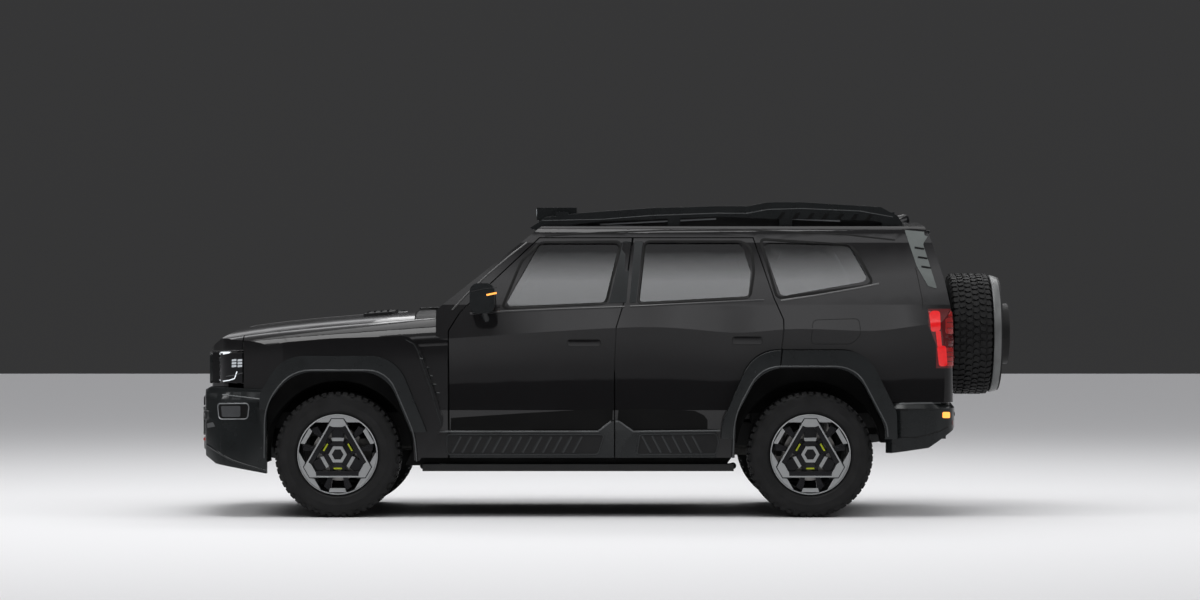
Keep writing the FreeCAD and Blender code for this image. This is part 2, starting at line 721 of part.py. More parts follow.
def fender():
    """The left front fender with its bulge."""
    skin = FRONT_OUTER.cut(FRONT_INNER)
    front_x = along(FENDER_FRONT_SHARE)
    rear_x = along(FRONT_DOOR_SHARES[-1][0]) - S.door_gap
    low = S.roof_height * FRONT_DOOR_SHARES[0][1]
    area = block((front_x, -WIDE, low), (rear_x, -S.hood_half_width - S.door_gap, S.roof_height))
    panel = skin.common(area).fuse(blister())
    return panel.cut(FRONT_OPENING).cut(wheel_room(FRONT_AXLE_X)).removeSplitter()


def make_front_panels(flare, bumper):
    """Hood and front fenders."""
    skin = FRONT_OUTER.cut(FRONT_INNER)
    nose_x = along(HOOD_FRONT_SHARE)
    rear_x = along(HOOD_REAR_SHARE)
    half = S.hood_half_width
    corner_x = along(FENDER_FRONT_SHARE) - S.door_gap
    near = [(nose_x, -WIDE), (corner_x, -WIDE), (corner_x, -half), (rear_x, -half)]
    plan = plan_prism([*near, *[(x, -y) for x, y in reversed(near)]], 0, S.roof_height)
    floor_line = side(HOOD_FLOOR_SHARES)
    above = side_prism([*floor_line, (floor_line[-1][0], S.roof_height), (floor_line[0][0], S.roof_height)],
                       -WIDE, WIDE)
    add("hood", skin.common(plan).common(above))
    panel = fender().cut(flare).cut(bumper)
    panel = max(panel.Solids, key=lambda solid: solid.Volume)
    add("front_fender_left", panel)
    add("front_fender_right", mirrored(panel))


def gate_outline(spare_gap):
    """The tailgate seen from behind, wider all round by a gap."""
    low_half = S.gate_half_width
    top_half = S.body_half_width * GATE_SHARES[1][0]
    turn_z = S.roof_height * GATE_SHARES[0][1]
    top_z = S.roof_height * GATE_SHARES[1][1]
    outline = [(-low_half, S.gate_bottom), (low_half, S.gate_bottom), (low_half, turn_z), (top_half, top_z),
               (-top_half, top_z), (-low_half, turn_z)]
    return inset_outline(outline, [-spare_gap] * len(outline))


def window_outline(shares, seat):
    """A window seen from the front or from behind, from two heights and half widths."""
    (low_half, low_z), (top_half, top_z) = [(y * S.body_half_width, z * S.roof_height) for y, z in shares]
    outline = [(-low_half, low_z), (low_half, low_z), (top_half, top_z), (-top_half, top_z)]
    return inset_outline(outline, [seat] * len(outline))


GATE_FRONT_X = along(0.68)
GATE_REAR_X = along(0.83)
SCREEN_FRONT_X = along(-0.31)
SCREEN_REAR_X = along(0)


def make_gate():
    """The side-hinged tailgate and its pane."""
    lip = LIP.common(end_prism(gate_outline(0), GATE_FRONT_X, GATE_REAR_X))
    case = DOOR_STEP.cut(DOOR_INNER).common(end_prism(gate_outline(-S.door_step), GATE_FRONT_X, GATE_REAR_X))
    window = end_prism(window_outline(GATE_WINDOW_SHARES, 0), GATE_FRONT_X, GATE_REAR_X, S.window_radius)
    add("tailgate", lip.fuse(case).cut(window).removeSplitter())
    glass = end_prism(window_outline(GATE_WINDOW_SHARES, S.panel_seat), GATE_FRONT_X, GATE_REAR_X, S.window_radius)
    add("tailgate_glass", GLASS_LAYER.common(glass))


def screen_room(seat, low_drop=0):
    """The windshield's opening, and what lies behind it."""
    outline = window_outline(WINDSHIELD_SHARES, seat)
    return end_prism(outline, SCREEN_FRONT_X, SCREEN_REAR_X, S.window_radius * 2)


SPOILER_SHARES = ((0.70, 0.975), (0.750, 0.968), (0.7635, 1.003), (0.7635, 1.010), (0.70, 1.022))
TAIL_LAMP_SHARES = (
    (0.7665, 0.522), (0.83, 0.522), (0.83, 0.732), (0.7505, 0.732), (0.7505, 0.672), (0.7665, 0.605),
)


def lamp_room(seat):
    """The block that holds the left tail lamp, drawn in by a seat gap."""
    outline = inset_outline(side(TAIL_LAMP_SHARES), [seat] * len(TAIL_LAMP_SHARES))
    return side_prism(outline, -WIDE, -S.tail_lamp_inner - seat)


def gate_axis():
    """The tailgate's hinge axis, behind the rear face in the right-hand gap."""
    out = S.gate_hinge_radius + S.panel_seat
    return along(CABIN_PROFILE_SHARES[2][0]) + math.sqrt(out ** 2 - (S.door_gap / 2) ** 2), S.gate_half_width + S.door_gap / 2


def make_shell():
    """Left and right body sides, roof, bulkhead with floor, and fixed glass."""
    shell = OUTER.cut(POST_INNER)
    screen = screen_room(0)
    gate_room = end_prism(gate_outline(S.door_gap), GATE_FRONT_X, GATE_REAR_X)
    roof_low = S.roof_height * GATE_SHARES[1][1]
    roof_block = block((FRONT_X, -S.roof_half_width, roof_low), (-FRONT_X, S.roof_half_width, S.roof_height * 2))
    bulkhead_top = S.roof_height * WINDSHIELD_SHARES[0][1]
    front_block = block((FRONT_X, -S.hood_half_width, -S.overrun), (along(-0.27), S.hood_half_width, bulkhead_top))
    bumper_block = block((along(REAR_BUMPER_SHARES[0][0]), -WIDE, -S.overrun), (-FRONT_X, WIDE, rear_bumper_top()))
    front = front_door_outline()
    rear = rear_door_outline()
    side_shell = shell.common(block((FRONT_X, -WIDE, S.sill_bottom), (-FRONT_X, -S.screen_half, S.roof_height * 2)))
    side_shell = side_shell.cut(REAR_OPENING)
    for outline, window in ((front, FRONT_WINDOW_SHARES), (rear, REAR_WINDOW_SHARES)):
        room = side_prism(inset_outline(outline, [-S.door_gap] * len(outline)), -WIDE, 0)
        insets = [S.door_step + S.post_width / 2] * len(outline)
        insets[0] = S.sill_height
        side_shell = side_shell.cut(room.cut(POST_OUTER))
        side_shell = side_shell.cut(side_prism(inset_outline(outline, insets), -WIDE, 0, S.window_radius))
    side_shell = side_shell.cut(side_prism(side(QUARTER_WINDOW_SHARES), -WIDE, 0, S.window_radius))
    for tool in (screen, gate_room, roof_block, front_block, bumper_block, FRONT_OUTER, lamp_room(0)):
        side_shell = side_shell.cut(tool)
    main = max(side_shell.Solids, key=lambda solid: solid.Volume)
    add("body_side_left", main)
    axis_x, axis_y = gate_axis()
    pieces = []
    for step in (0, 1):
        low_z = S.gate_bottom + S.gate_hinge_length / 2 + step * S.gate_hinge_pitch
        pieces.append(Part.makeCylinder(S.gate_hinge_radius, S.gate_hinge_length, Vector(axis_x, axis_y, low_z)))
        pieces.append(block((along(CABIN_PROFILE_SHARES[2][0]), axis_y, low_z),
                            (axis_x, axis_y + S.gate_hinge_leaf, low_z + S.gate_hinge_length)))
    add("body_side_right", united(mirrored(main), *pieces))
    seat = S.panel_seat
    roof_piece = block((FRONT_X, -S.roof_half_width + seat, roof_low + seat),
                       (-FRONT_X, S.roof_half_width - seat, S.roof_height * 2))
    roof = WALL.common(roof_piece).cut(screen).cut(gate_room)
    add("roof", max(roof.Solids, key=lambda solid: solid.Volume))
    bulkhead = WALL.common(block((FRONT_X, -S.hood_half_width + seat, S.floor_height),
                                 (along(-0.27), S.hood_half_width - seat, bulkhead_top - seat)))
    floor_front = along(CABIN_PROFILE_SHARES[0][0]) + S.frame_wall / 2
    step_x = along(0.375)
    rear_x = along(CABIN_PROFILE_SHARES[2][0]) - S.gate_wall - S.door_clearance
    rise = S.rear_floor_rise
    low = S.floor_height
    top = FLOOR_TOP
    plate = block((floor_front, -S.floor_half_width, low), (step_x, S.floor_half_width, top))
    riser = block((step_x - S.floor_thickness, -S.rear_floor_half, low), (step_x, S.rear_floor_half, top + rise))
    deck = block((step_x - S.floor_thickness, -S.rear_floor_half, low + rise), (rear_x, S.rear_floor_half, top + rise))
    add("floor_pan", united(bulkhead, plate, riser, deck))
    glass = GLASS_LAYER.common(screen_room(seat))
    quarter = pane(side(QUARTER_WINDOW_SHARES), S.window_radius)
    add("fixed_glass", Part.makeCompound([*glass.Solids, *quarter.Solids, *mirrored(quarter).Solids]))


# Bumpers, nose and lamps

FRONT_LEAN_SHARES = (0.412, 0.4395)
REAR_LEAN_SHARES = (0.3815, 0.3995)


def leaning_top(form, outline, level_shares, still_edge):
    """A bumper whose upper edge leans inwards to a shelf, except along its edge at the wheels."""
    low_z, high_z = [S.roof_height * share for share in level_shares]
    shifts = [S.bumper_lean] * len(outline)
    shifts[still_edge] = 0
    inner = inset_outline(outline, shifts)
    wires = []
    for places, z in ((outline, low_z), (inner, high_z)):
        corners = [Vector(x, y, z) for x, y in places]
        wires.append(rounded_wire(corners, [S.bumper_radius] * len(corners)))
    low = form.common(block((FRONT_X, -WIDE, -S.overrun), (-FRONT_X, WIDE, low_z)))
    lean = form.common(Part.makeLoft(wires, True, True))
    top = form.common(plan_prism(inner, high_z, S.roof_height, S.bumper_radius))
    return low.fuse([lean, top]).removeSplitter()


FRONT_BUMPER_SHARES = (
    (-0.773, 0.458), (-0.819, 0.419), (-0.819, 0.288), (-0.804, 0.233), (-0.76, 0.188), (-0.65, 0.154),
    (-0.60, 0.154), (-0.60, 0.445),
)
FRONT_BUMPER_PLAN_SHARES = (
    (-0.819, -0.45), (-0.795, -0.80), (-0.745, -0.985), (-0.70, -1.01), (-0.60, -1.01),
    (-0.60, 1.01), (-0.70, 1.01), (-0.745, 0.985), (-0.795, 0.80), (-0.819, 0.45),
)
REAR_BUMPER_SHARES = (
    (0.655, 0.403), (0.655, 0.225), (0.672, 0.225), (0.75, 0.244), (0.8155, 0.314), (0.8175, 0.403),
)
REAR_BUMPER_PLAN_SHARES = (
    (0.655, -1.01), (0.76, -1.0), (0.805, -0.88), (0.8175, -0.6),
    (0.8175, 0.6), (0.805, 0.88), (0.76, 1.0), (0.655, 1.01),
)


def rear_bumper_top():
    """The height of the rear bumper's shelf, with the gap above it."""
    return S.roof_height * REAR_BUMPER_SHARES[0][1] + S.panel_seat


def plan(shares):
    """Places seen from above, from shares of the wheelbase and of the body's half width."""
    return [(along(x), y * S.body_half_width) for x, y in shares]


def front_bumper():
    """The front bumper, a hollow wrap from wheel opening to wheel opening."""
    form = side_prism(side(FRONT_BUMPER_SHARES)[::-1], -WIDE, WIDE)
    outline = plan(FRONT_BUMPER_PLAN_SHARES)
    form = form.common(plan_prism(outline, -S.overrun, S.roof_height, S.bumper_radius))
    form = leaning_top(form, outline, FRONT_LEAN_SHARES, len(outline) // 2 - 1)
    inner = inset_outline(outline, [S.bumper_wall] * len(outline))
    hollow = plan_prism([(max(x, along(-0.74)), y) for x, y in inner[1:-1]], -S.overrun,
                        S.roof_height)
    form = form.cut(hollow.common(block((FRONT_X, -WIDE, -S.overrun), (-FRONT_X, WIDE, S.roof_height))))
    for sign in (-1, 1):
        room = wheel_room(FRONT_AXLE_X)
        gap = FRONT_OPENING
        form = form.cut(room if sign < 0 else mirrored(room)).cut(gap if sign < 0 else mirrored(gap))
    return form.removeSplitter()


def rear_bumper():
    """The rear bumper with a flat shelf on top."""
    form = side_prism(side(REAR_BUMPER_SHARES), -WIDE, WIDE)
    outline = plan(REAR_BUMPER_PLAN_SHARES)
    form = form.common(plan_prism(outline, -S.overrun, S.roof_height, S.bumper_radius))
    form = leaning_top(form, outline, REAR_LEAN_SHARES, -1)
    hollow = block((along(0.60), -S.body_half_width + S.bumper_wall, -S.overrun),
                   (along(0.745), S.body_half_width - S.bumper_wall, rear_bumper_top() - S.bumper_shelf))
    return form.cut(hollow).cut(REAR_OPENING).cut(mirrored(REAR_OPENING)).cut(receiver_block(S.panel_seat))


def receiver_block(gap):
    """The tow receiver's outer form, wider all round by a gap."""
    tube = S.hitch_tube / 2 + S.hitch_wall + gap
    middle_z = S.rail_bottom + S.rail_kick / 2
    return block((along(0.70), -tube, middle_z - tube), (along(0.8175), tube, middle_z + tube))


def make_ends(bumper, tail_flare):
    """Bumpers, grille, lamps, cowl and the spoiler."""
    add("front_bumper", bumper)
    tail = rear_bumper().cut(tail_flare).cut(mirrored(tail_flare))
    add("rear_bumper", max(tail.Solids, key=lambda solid: solid.Volume))
    nose = FRONT_OUTER.common(side_prism(side(NOSE_SHARES), -WIDE, WIDE))
    lamp_box = side_prism(side(LAMP_SHARES), -WIDE, -S.lamp_inner)
    lamp = FRONT_OUTER.common(lamp_box).cut(block((along(LAMP_ROOM_SHARE), -S.lamp_room_half, 0),
                                                  (0, 0, S.roof_height))).cut(bumper)
    add("headlamps", pair(max(lamp.Solids, key=lambda solid: solid.Volume)))
    nose = nose.cut(lamp_box).cut(mirrored(lamp_box)).cut(bumper)
    add("grille", max(nose.Solids, key=lambda solid: solid.Volume))
    add("tail_lamps", pair(WALL.common(lamp_room(S.panel_seat))))
    cowl_front = along(HOOD_REAR_SHARE) + S.door_gap
    cowl = FRONT_OUTER.cut(FRONT_INNER).common(
        block((cowl_front, -S.hood_half_width + S.panel_seat, 0),
              (along(CABIN_PROFILE_SHARES[0][0]), S.hood_half_width - S.panel_seat, S.roof_height)))
    cowl = cowl.cut(OUTER).cut(block((FRONT_X, -WIDE, 0), (-FRONT_X, WIDE, S.roof_height * 0.6)))
    cowl = max(cowl.Solids, key=lambda solid: solid.Volume)
    under_hood = FRONT_INNER.translated(Vector(0, 0, -S.panel_seat))
    for near in (-S.hood_hinge_y, S.hood_hinge_y - S.bracket):
        low_z = S.roof_height * HOOD_BRACKET_SHARE
        arm = block((cowl_front - S.bracket, near, low_z), (cowl_front + S.bracket, near + S.bracket, S.roof_height))
        post = block((cowl_front, near, low_z), (cowl_front + S.bracket, near + S.bracket, S.roof_height))
        cowl = cowl.fuse([arm.common(under_hood), post.common(FRONT_OUTER)])
    add("cowl", cowl.removeSplitter())
    half = S.roof_half_width * 0.9
    spoiler = side_prism(side(SPOILER_SHARES), -half, half).cut(OUTER)
    add("rear_spoiler", max(spoiler.Solids, key=lambda solid: solid.Volume))


# Running gear

def front_rail_low():
    """The underside of the frame's rails above the front wheels, seated on the suspension's towers."""
    return AXLE_Z + S.knuckle_height / 2 + S.arm_thickness + S.panel_seat


def make_frame():
    """Ladder frame with cross tubes, body mounts, rock rails and the tow receiver."""
    pieces = []
    half = S.rail_spacing / 2
    low = S.rail_bottom
    high = low + S.rail_height
    lift = front_rail_low() - low
    kick = S.rail_kick
    kick_x = along(0.43)
    front_x = along(-0.735)
    rear_x = along(0.735)
    bend_x = along(-0.33)
    for sign in (-1, 1):
        near, far = sorted((sign * (half - S.rail_width / 2), sign * (half + S.rail_width / 2)))
        pieces.append(block((front_x, near, low + lift), (bend_x, far, high + lift)))
        pieces.append(block((bend_x - S.rail_height, near, low), (kick_x, far, high)))
        pieces.append(block((kick_x - S.rail_height, near, low), (kick_x, far, high + kick)))
        pieces.append(block((kick_x - S.rail_height, near, low + kick), (rear_x, far, high + kick)))
        reach = sorted((sign * S.rock_rail_reach, sign * (S.rock_rail_reach - S.rock_rail_width)))
        pieces.append(block((along(-0.321), reach[0], S.rock_rail_bottom),
                            (along(0.338), reach[1], S.rock_rail_bottom + S.rock_rail_height)))
        for share in (-0.26, 0.0, 0.26):
            arm = sorted((sign * (half - S.bracket / 2), sign * (S.rock_rail_reach - S.rock_rail_width / 2)))
            post = sorted((sign * (half - S.bracket / 2), sign * (half + S.bracket / 2)))
            x = along(share)
            arm_low = S.rock_rail_bottom + S.rock_rail_height / 6
            pieces.append(block((x - S.bracket / 2, arm[0], arm_low),
                                (x + S.bracket / 2, arm[1], arm_low + S.rock_rail_height * 2 / 3)))
            pieces.append(block((x - S.bracket / 2, post[0], arm_low), (x + S.bracket / 2, post[1], low + S.bracket / 2)))
        for share, base in ((-0.60, high + lift), (-0.24, high), (0.0, high), (0.27, high), (0.60, high + kick)):
            top = S.floor_height + (S.rear_floor_rise if share > 0.5 else 0)
            if share < -0.5:
                top = base + S.mount_height
            pieces.append(Part.makeCylinder(S.mount_radius, top - base, Vector(along(share), sign * half, base)))
    middle = S.rail_height / 2
    gearbox_low = S.rail_bottom + S.mount_height - S.panel_seat - S.cross_tube_radius
    for share, z in ((-0.715, low + lift + middle), (-0.31, gearbox_low), (0.02, low + middle), (0.28, low + middle),
                     (0.66, low + kick + middle)):
        pieces.append(Part.makeCylinder(S.cross_tube_radius, S.rail_spacing, Vector(along(share), -half, z), Y_AXIS))
    end_x = along(0.8175)
    tube = S.hitch_tube / 2 + S.hitch_wall
    hitch_z = low + kick / 2
    pieces.append(receiver_block(0))
    pieces.append(block((along(0.70), -half, hitch_z - tube), (along(0.72), half, low + kick + S.bracket)))
    frame = united(*pieces)
    bore = block((along(0.76), -S.hitch_tube / 2, hitch_z - S.hitch_tube / 2),
                 (end_x + S.overrun, S.hitch_tube / 2, hitch_z + S.hitch_tube / 2))
    add("ladder_frame", frame.cut(bore))


def make_suspension():
    """Front cross-member with upper and lower arms out to the ball joints."""
    x = FRONT_AXLE_X
    low_z = AXLE_Z - S.knuckle_height / 2 - S.arm_thickness
    high_z = AXLE_Z + S.knuckle_height / 2
    half = S.rail_spacing / 2 - S.rail_width / 2
    pieces = [block((x - S.subframe_length / 2, -half, low_z),
                    (x + S.subframe_length / 2, half, low_z + S.subframe_height))]
    for sign in (-1, 1):
        near = sorted((sign * (half - S.bracket), sign * half))
        pieces.append(block((x - S.subframe_length / 2, near[0], low_z),
                            (x + S.subframe_length / 2, near[1], high_z + S.arm_thickness)))
        ball = sign * KINGPIN_Y
        for z, root in ((low_z, S.subframe_length / 2), (high_z, S.subframe_length / 3)):
            outline = [(x - root, sign * (half - S.bracket / 2)), (x + root, sign * (half - S.bracket / 2)),
                       (x + S.arm_tip_width / 2, ball + sign * S.ball_radius),
                       (x - S.arm_tip_width / 2, ball + sign * S.ball_radius)]
            if sign < 0:
                outline.reverse()
            pieces.append(plan_prism(outline, z, z + S.arm_thickness))
    arms = united(*pieces)
    add("front_suspension", arms)


def make_rear_axle():
    """Rear axle beam with differential, spindles, brake carriers, springs and trailing arms."""
    x = REAR_AXLE_X
    hub_y = WHEEL_Y + S.rim_width / 2 - S.spoke_inset - S.spoke_depth
    flange_y = WHEEL_Y - S.disc_inset + S.tyre_width / 2 - S.brake_play - S.disc_thickness
    half = S.rail_spacing / 2
    beam = Part.makeCylinder(S.axle_tube_radius, 2 * (flange_y - S.brake_play), Vector(x, S.brake_play - flange_y, AXLE_Z), Y_AXIS)
    diff = Part.makeCylinder(S.diff_radius, S.diff_length, Vector(x, -S.diff_length / 2, AXLE_Z), Y_AXIS)
    pieces = [beam, diff]
    spring_top = S.rail_bottom + S.rail_kick - S.panel_seat
    arm_x = along(0.29)
    for sign in (-1, 1):
        pieces.append(Part.makeCylinder(S.spindle_radius, hub_y + S.spoke_depth / 2, Vector(x, 0, AXLE_Z),
                                        Vector(0, sign, 0)))
        pieces.append(Part.makeCylinder(S.spring_radius, spring_top - AXLE_Z, Vector(x, sign * half, AXLE_Z)))
        near = sorted((sign * (half - S.bracket / 2), sign * (half + S.bracket / 2)))
        pieces.append(block((arm_x, near[0], AXLE_Z - S.bracket / 2), (x, near[1], AXLE_Z + S.bracket / 2)))
        pieces.append(block((arm_x, near[0], AXLE_Z - S.bracket / 2), (arm_x + S.bracket, near[1],
                                                                      S.rail_bottom - S.panel_seat)))
    add("rear_axle", united(*pieces))


def lugged_tyre(place):
    """A tyre of flat facets with notched shoulders; place turns radius, angle and width into a point."""
    steps = int(S.tyre_lugs) * LUG_STEPS
    turn = 2 * math.pi / steps
    reach = 1 / math.cos(turn / 2)
    half = S.tyre_width / 2
    shoulder = S.tyre_shoulder
    outer = S.tyre_radius
    sections = []
    for step in range(steps):
        notch = S.lug_notch if step % LUG_STEPS == 0 else 0
        flank = [(S.rim_radius + S.panel_seat, half - shoulder), (outer - 2 * shoulder, half),
                 (outer - shoulder / 2 - notch, half - shoulder / 2 - notch), (outer, half - 1.4 * shoulder - notch / 2)]
        profile = [*flank, *[(radius, -width) for radius, width in reversed(flank)]]
        angle = (step + 0.5) * turn
        sections.append([place(radius * reach, angle, width) for radius, width in profile])
    faces = []
    for section, following in zip(sections, [*sections[1:], sections[0]]):
        for index in range(len(section)):
            a, b = section[index - 1], section[index]
            c, d = following[index], following[index - 1]
            if abs((b - a).cross(c - a).normalize().dot(d - a)) < S.flatness:
                corners = [(a, b, c, d)]
            else:
                corners = [(a, b, c), (a, c, d)]
            faces.extend(Part.Face(Part.makePolygon([*group, group[0]])) for group in corners)
    solid = Part.Solid(Part.Shell(faces))
    if solid.Volume < 0:
        solid.reverse()
    return solid


def make_wheel(name, axle_x, sign):
    """A tyre and its rim; the rim carries the brake disc."""
    def place(radius, angle, width):
        return Vector(axle_x + radius * math.sin(angle), sign * WHEEL_Y + width, AXLE_Z - radius * math.cos(angle))

    add(f"tyre_{name}", lugged_tyre(place))
    add(f"rim_{name}", rim(axle_x, sign))


def rim(axle_x, sign):
    """A rim with a truncated triangle on three deep spokes, and its brake disc."""
    out = Vector(0, sign, 0)

    def disc(radius, inner, near, depth):
        """A ring or disc; near and depth are measured from the wheel's middle plane outwards."""
        base = Vector(axle_x, sign * (WHEEL_Y + near), AXLE_Z)
        solid = Part.makeCylinder(radius, depth, base, out)
        return solid.cut(Part.makeCylinder(inner, depth, base, out)) if inner else solid

    half = S.rim_width / 2
    bore = S.spindle_radius + S.spindle_play
    face = half - S.spoke_inset - S.spoke_depth
    barrel = disc(S.rim_radius, S.rim_radius - S.rim_wall, -half, S.rim_width)
    plate = disc(S.rim_radius - S.rim_wall / 2, 0, face, S.spoke_depth)
    for turn in range(3):
        angle = math.radians(90 + 120 * turn + 60)
        places = []
        for share_r, spread in ((0.40, 30), (0.84, 44), (0.84, -44), (0.40, -30)):
            direction = angle + math.radians(spread)
            places.append((axle_x + S.rim_radius * share_r * math.cos(direction),
                           AXLE_Z + S.rim_radius * share_r * math.sin(direction)))
        low, high = sorted((sign * (WHEEL_Y + face - 1), sign * (WHEEL_Y + face + S.spoke_depth + 1)))
        plate = plate.cut(side_prism(places, low, high, S.rim_radius * 0.06))
    disc_near = S.tyre_width / 2 - S.disc_inset - S.disc_thickness
    hub = disc(S.hub_radius, 0, disc_near, face - disc_near + S.spoke_depth / 2)
    brake = disc(S.disc_radius, 0, disc_near, S.disc_thickness)
    near = S.frame_near

    def triangle(radius, top):
        """A triangular prism about the wheel's axis, its point up or down."""
        corners = [(axle_x + radius * math.cos(top + turn), AXLE_Z + radius * math.sin(top + turn))
                   for turn in (0, 2 * math.pi / 3, 4 * math.pi / 3)]
        low, high = sorted((sign * (WHEEL_Y + face), sign * (WHEEL_Y + half)))
        return side_prism(corners, low, high)

    frame = disc(S.frame_corner_radius, 0, near, S.frame_depth).common(triangle(S.frame_radius, math.pi / 2))
    frame = frame.cut(triangle(S.frame_inner_radius, math.pi / 2))
    segments = disc(S.rim_radius - S.rim_wall / 2, 0, near, S.frame_depth).cut(triangle(S.segment_radius, -math.pi / 2))
    cap = disc(S.cap_radius, 0, face, half - S.spoke_inset / 2 - face)
    wheel = united(barrel, plate, hub, brake, frame, segments, cap)
    room = disc(bore, 0, disc_near - 1, face + S.spoke_depth / 2 + S.brake_play - disc_near)
    return wheel.cut(room)


def make_knuckle(name, sign):
    """A steering knuckle with its spindle and brake caliper."""
    x = FRONT_AXLE_X
    disc_near = WHEEL_Y + S.tyre_width / 2 - S.disc_inset - S.disc_thickness
    low_y = KINGPIN_Y - S.knuckle_thickness / 2
    high_y = min(KINGPIN_Y + S.knuckle_thickness / 2, disc_near - S.brake_play)
    near, far = sorted((sign * low_y, sign * high_y))
    gap = S.panel_seat
    upright = block((x - S.knuckle_width / 2, near, AXLE_Z - S.knuckle_height / 2 + gap),
                    (x + S.knuckle_width / 2, far, AXLE_Z + S.knuckle_height / 2 - gap))
    end = WHEEL_Y + S.rim_width / 2 - S.spoke_inset - S.spoke_depth / 2
    spindle = Part.makeCylinder(S.spindle_radius, end - low_y, Vector(x, sign * low_y, AXLE_Z), Vector(0, sign, 0))
    caliper_x = x + S.disc_radius - S.caliper_width / 2
    disc_far = disc_near + S.disc_thickness
    reach = sorted((sign * low_y, sign * (disc_far + S.brake_play + S.caliper_wall)))
    caliper = block((caliper_x, reach[0], AXLE_Z - S.caliper_length / 2),
                    (caliper_x + S.caliper_width, reach[1], AXLE_Z + S.caliper_length / 2))
    room_side = sorted((sign * (disc_near - S.brake_play), sign * (disc_far + S.brake_play)))
    room = Part.makeCylinder(S.disc_radius + S.brake_play, room_side[1] - room_side[0],
                             Vector(x, room_side[0], AXLE_Z), Y_AXIS)
    bridge = block((x, near, AXLE_Z - S.bracket / 2), (caliper_x + S.caliper_wall, far, AXLE_Z + S.bracket / 2))
    knuckle = united(upright, spindle, caliper.cut(room), bridge)
    add(f"knuckle_{name}", knuckle)


def make_liners(front_pieces, rear_pieces):
    """Wheel arch liners above all four wheels, inside the pieces round them."""
    liners = []
    for axle_x, inner, outer in ((FRONT_AXLE_X, S.front_liner_inner, S.liner_outer),
                                 (REAR_AXLE_X, S.rear_liner_inner, S.rear_liner_outer)):
        def tube(radius, near, far):
            return Part.makeCylinder(radius, far - near, Vector(axle_x, -far, AXLE_Z), Y_AXIS)

        shell_radius = S.liner_radius + S.liner_wall
        arch = tube(shell_radius, inner, outer).cut(tube(S.liner_radius, inner, outer))
        wall = tube(shell_radius, inner, inner + S.liner_wall)
        wall = wall.cut(block((FRONT_X, -WIDE, 0), (-FRONT_X, WIDE, AXLE_Z + S.liner_radius * 0.55)))
        flange = tube(shell_radius + S.liner_flange, outer - S.liner_wall, outer)
        flange = flange.cut(tube(S.liner_radius, outer - S.liner_wall, outer))
        liner = arch.fuse([wall, flange])
        low = AXLE_Z - S.liner_radius * 0.12 if axle_x < 0 else AXLE_Z + S.liner_radius * 0.15
        liner = liner.cut(block((FRONT_X, -WIDE, -WIDE), (-FRONT_X, WIDE, low)))
        liners.append(liner.removeSplitter())
    for index, pieces in enumerate((front_pieces, rear_pieces)):
        for piece in pieces:
            liners[index] = liners[index].cut(piece)
        liners[index] = max(liners[index].Solids, key=lambda solid: solid.Volume)
    add("arch_liners", Part.makeCompound([*pair(liners[0]).Solids, *pair(liners[1]).Solids]))


def make_power():
    """Engine and gearbox as plain blocks, fuel tank, exhaust."""
    x = FRONT_AXLE_X
    top = S.rail_bottom + S.engine_lift + S.engine_height
    engine = block((x - S.engine_length * 0.55, -S.engine_width / 2, top - S.engine_height),
                   (x + S.engine_length * 0.45, S.engine_width / 2, top))
    gearbox = block((x + S.engine_length * 0.45 - 1, -S.gearbox_width / 2, S.rail_bottom + S.mount_height),
                    (x + S.engine_length * 0.45 + S.gearbox_length, S.gearbox_width / 2,
                     S.floor_height - S.door_clearance))
    add("engine", united(engine, gearbox))
    tank_x = along(0.02) + S.cross_tube_radius + S.door_clearance
    inner = -S.rail_spacing / 2 + S.rail_width / 2 + S.panel_seat
    tank = block((tank_x, inner, S.rail_bottom - S.mount_height), (tank_x + S.tank_length, inner + S.tank_width,
                                                                  S.rail_bottom + S.tank_height - S.mount_height))
    add("fuel_tank", tank)


# Inside the cabin

SEAT_CUSHION_SHARES = ((0, 0.30), (0.96, 0.22), (1.0, 0.42), (0.94, 0.60), (0.1, 0.62), (-0.04, 0.5))
SEAT_BACK_SHARES = ((0.86, 0.32), (1.08, 0.30), (1.42, 1.62), (1.40, 1.80), (1.26, 1.82), (1.20, 1.60))


def seat(front_x, low_z, width, middle_y, depth):
    """A seat: cushion and back with a headrest, in side view as shares of the cushion's depth."""
    def outline(shares):
        return [(front_x + x * depth, low_z + z * depth) for x, z in shares]

    cushion = side_prism(outline(SEAT_CUSHION_SHARES), middle_y - width / 2, middle_y + width / 2)
    back = side_prism(outline(SEAT_BACK_SHARES), middle_y - width / 2, middle_y + width / 2)
    base = block((front_x + depth * 0.1, middle_y - width / 3, low_z), (front_x + depth * 0.9, middle_y + width / 3,
                                                                       low_z + depth * 0.4))
    return united(cushion, back, base)


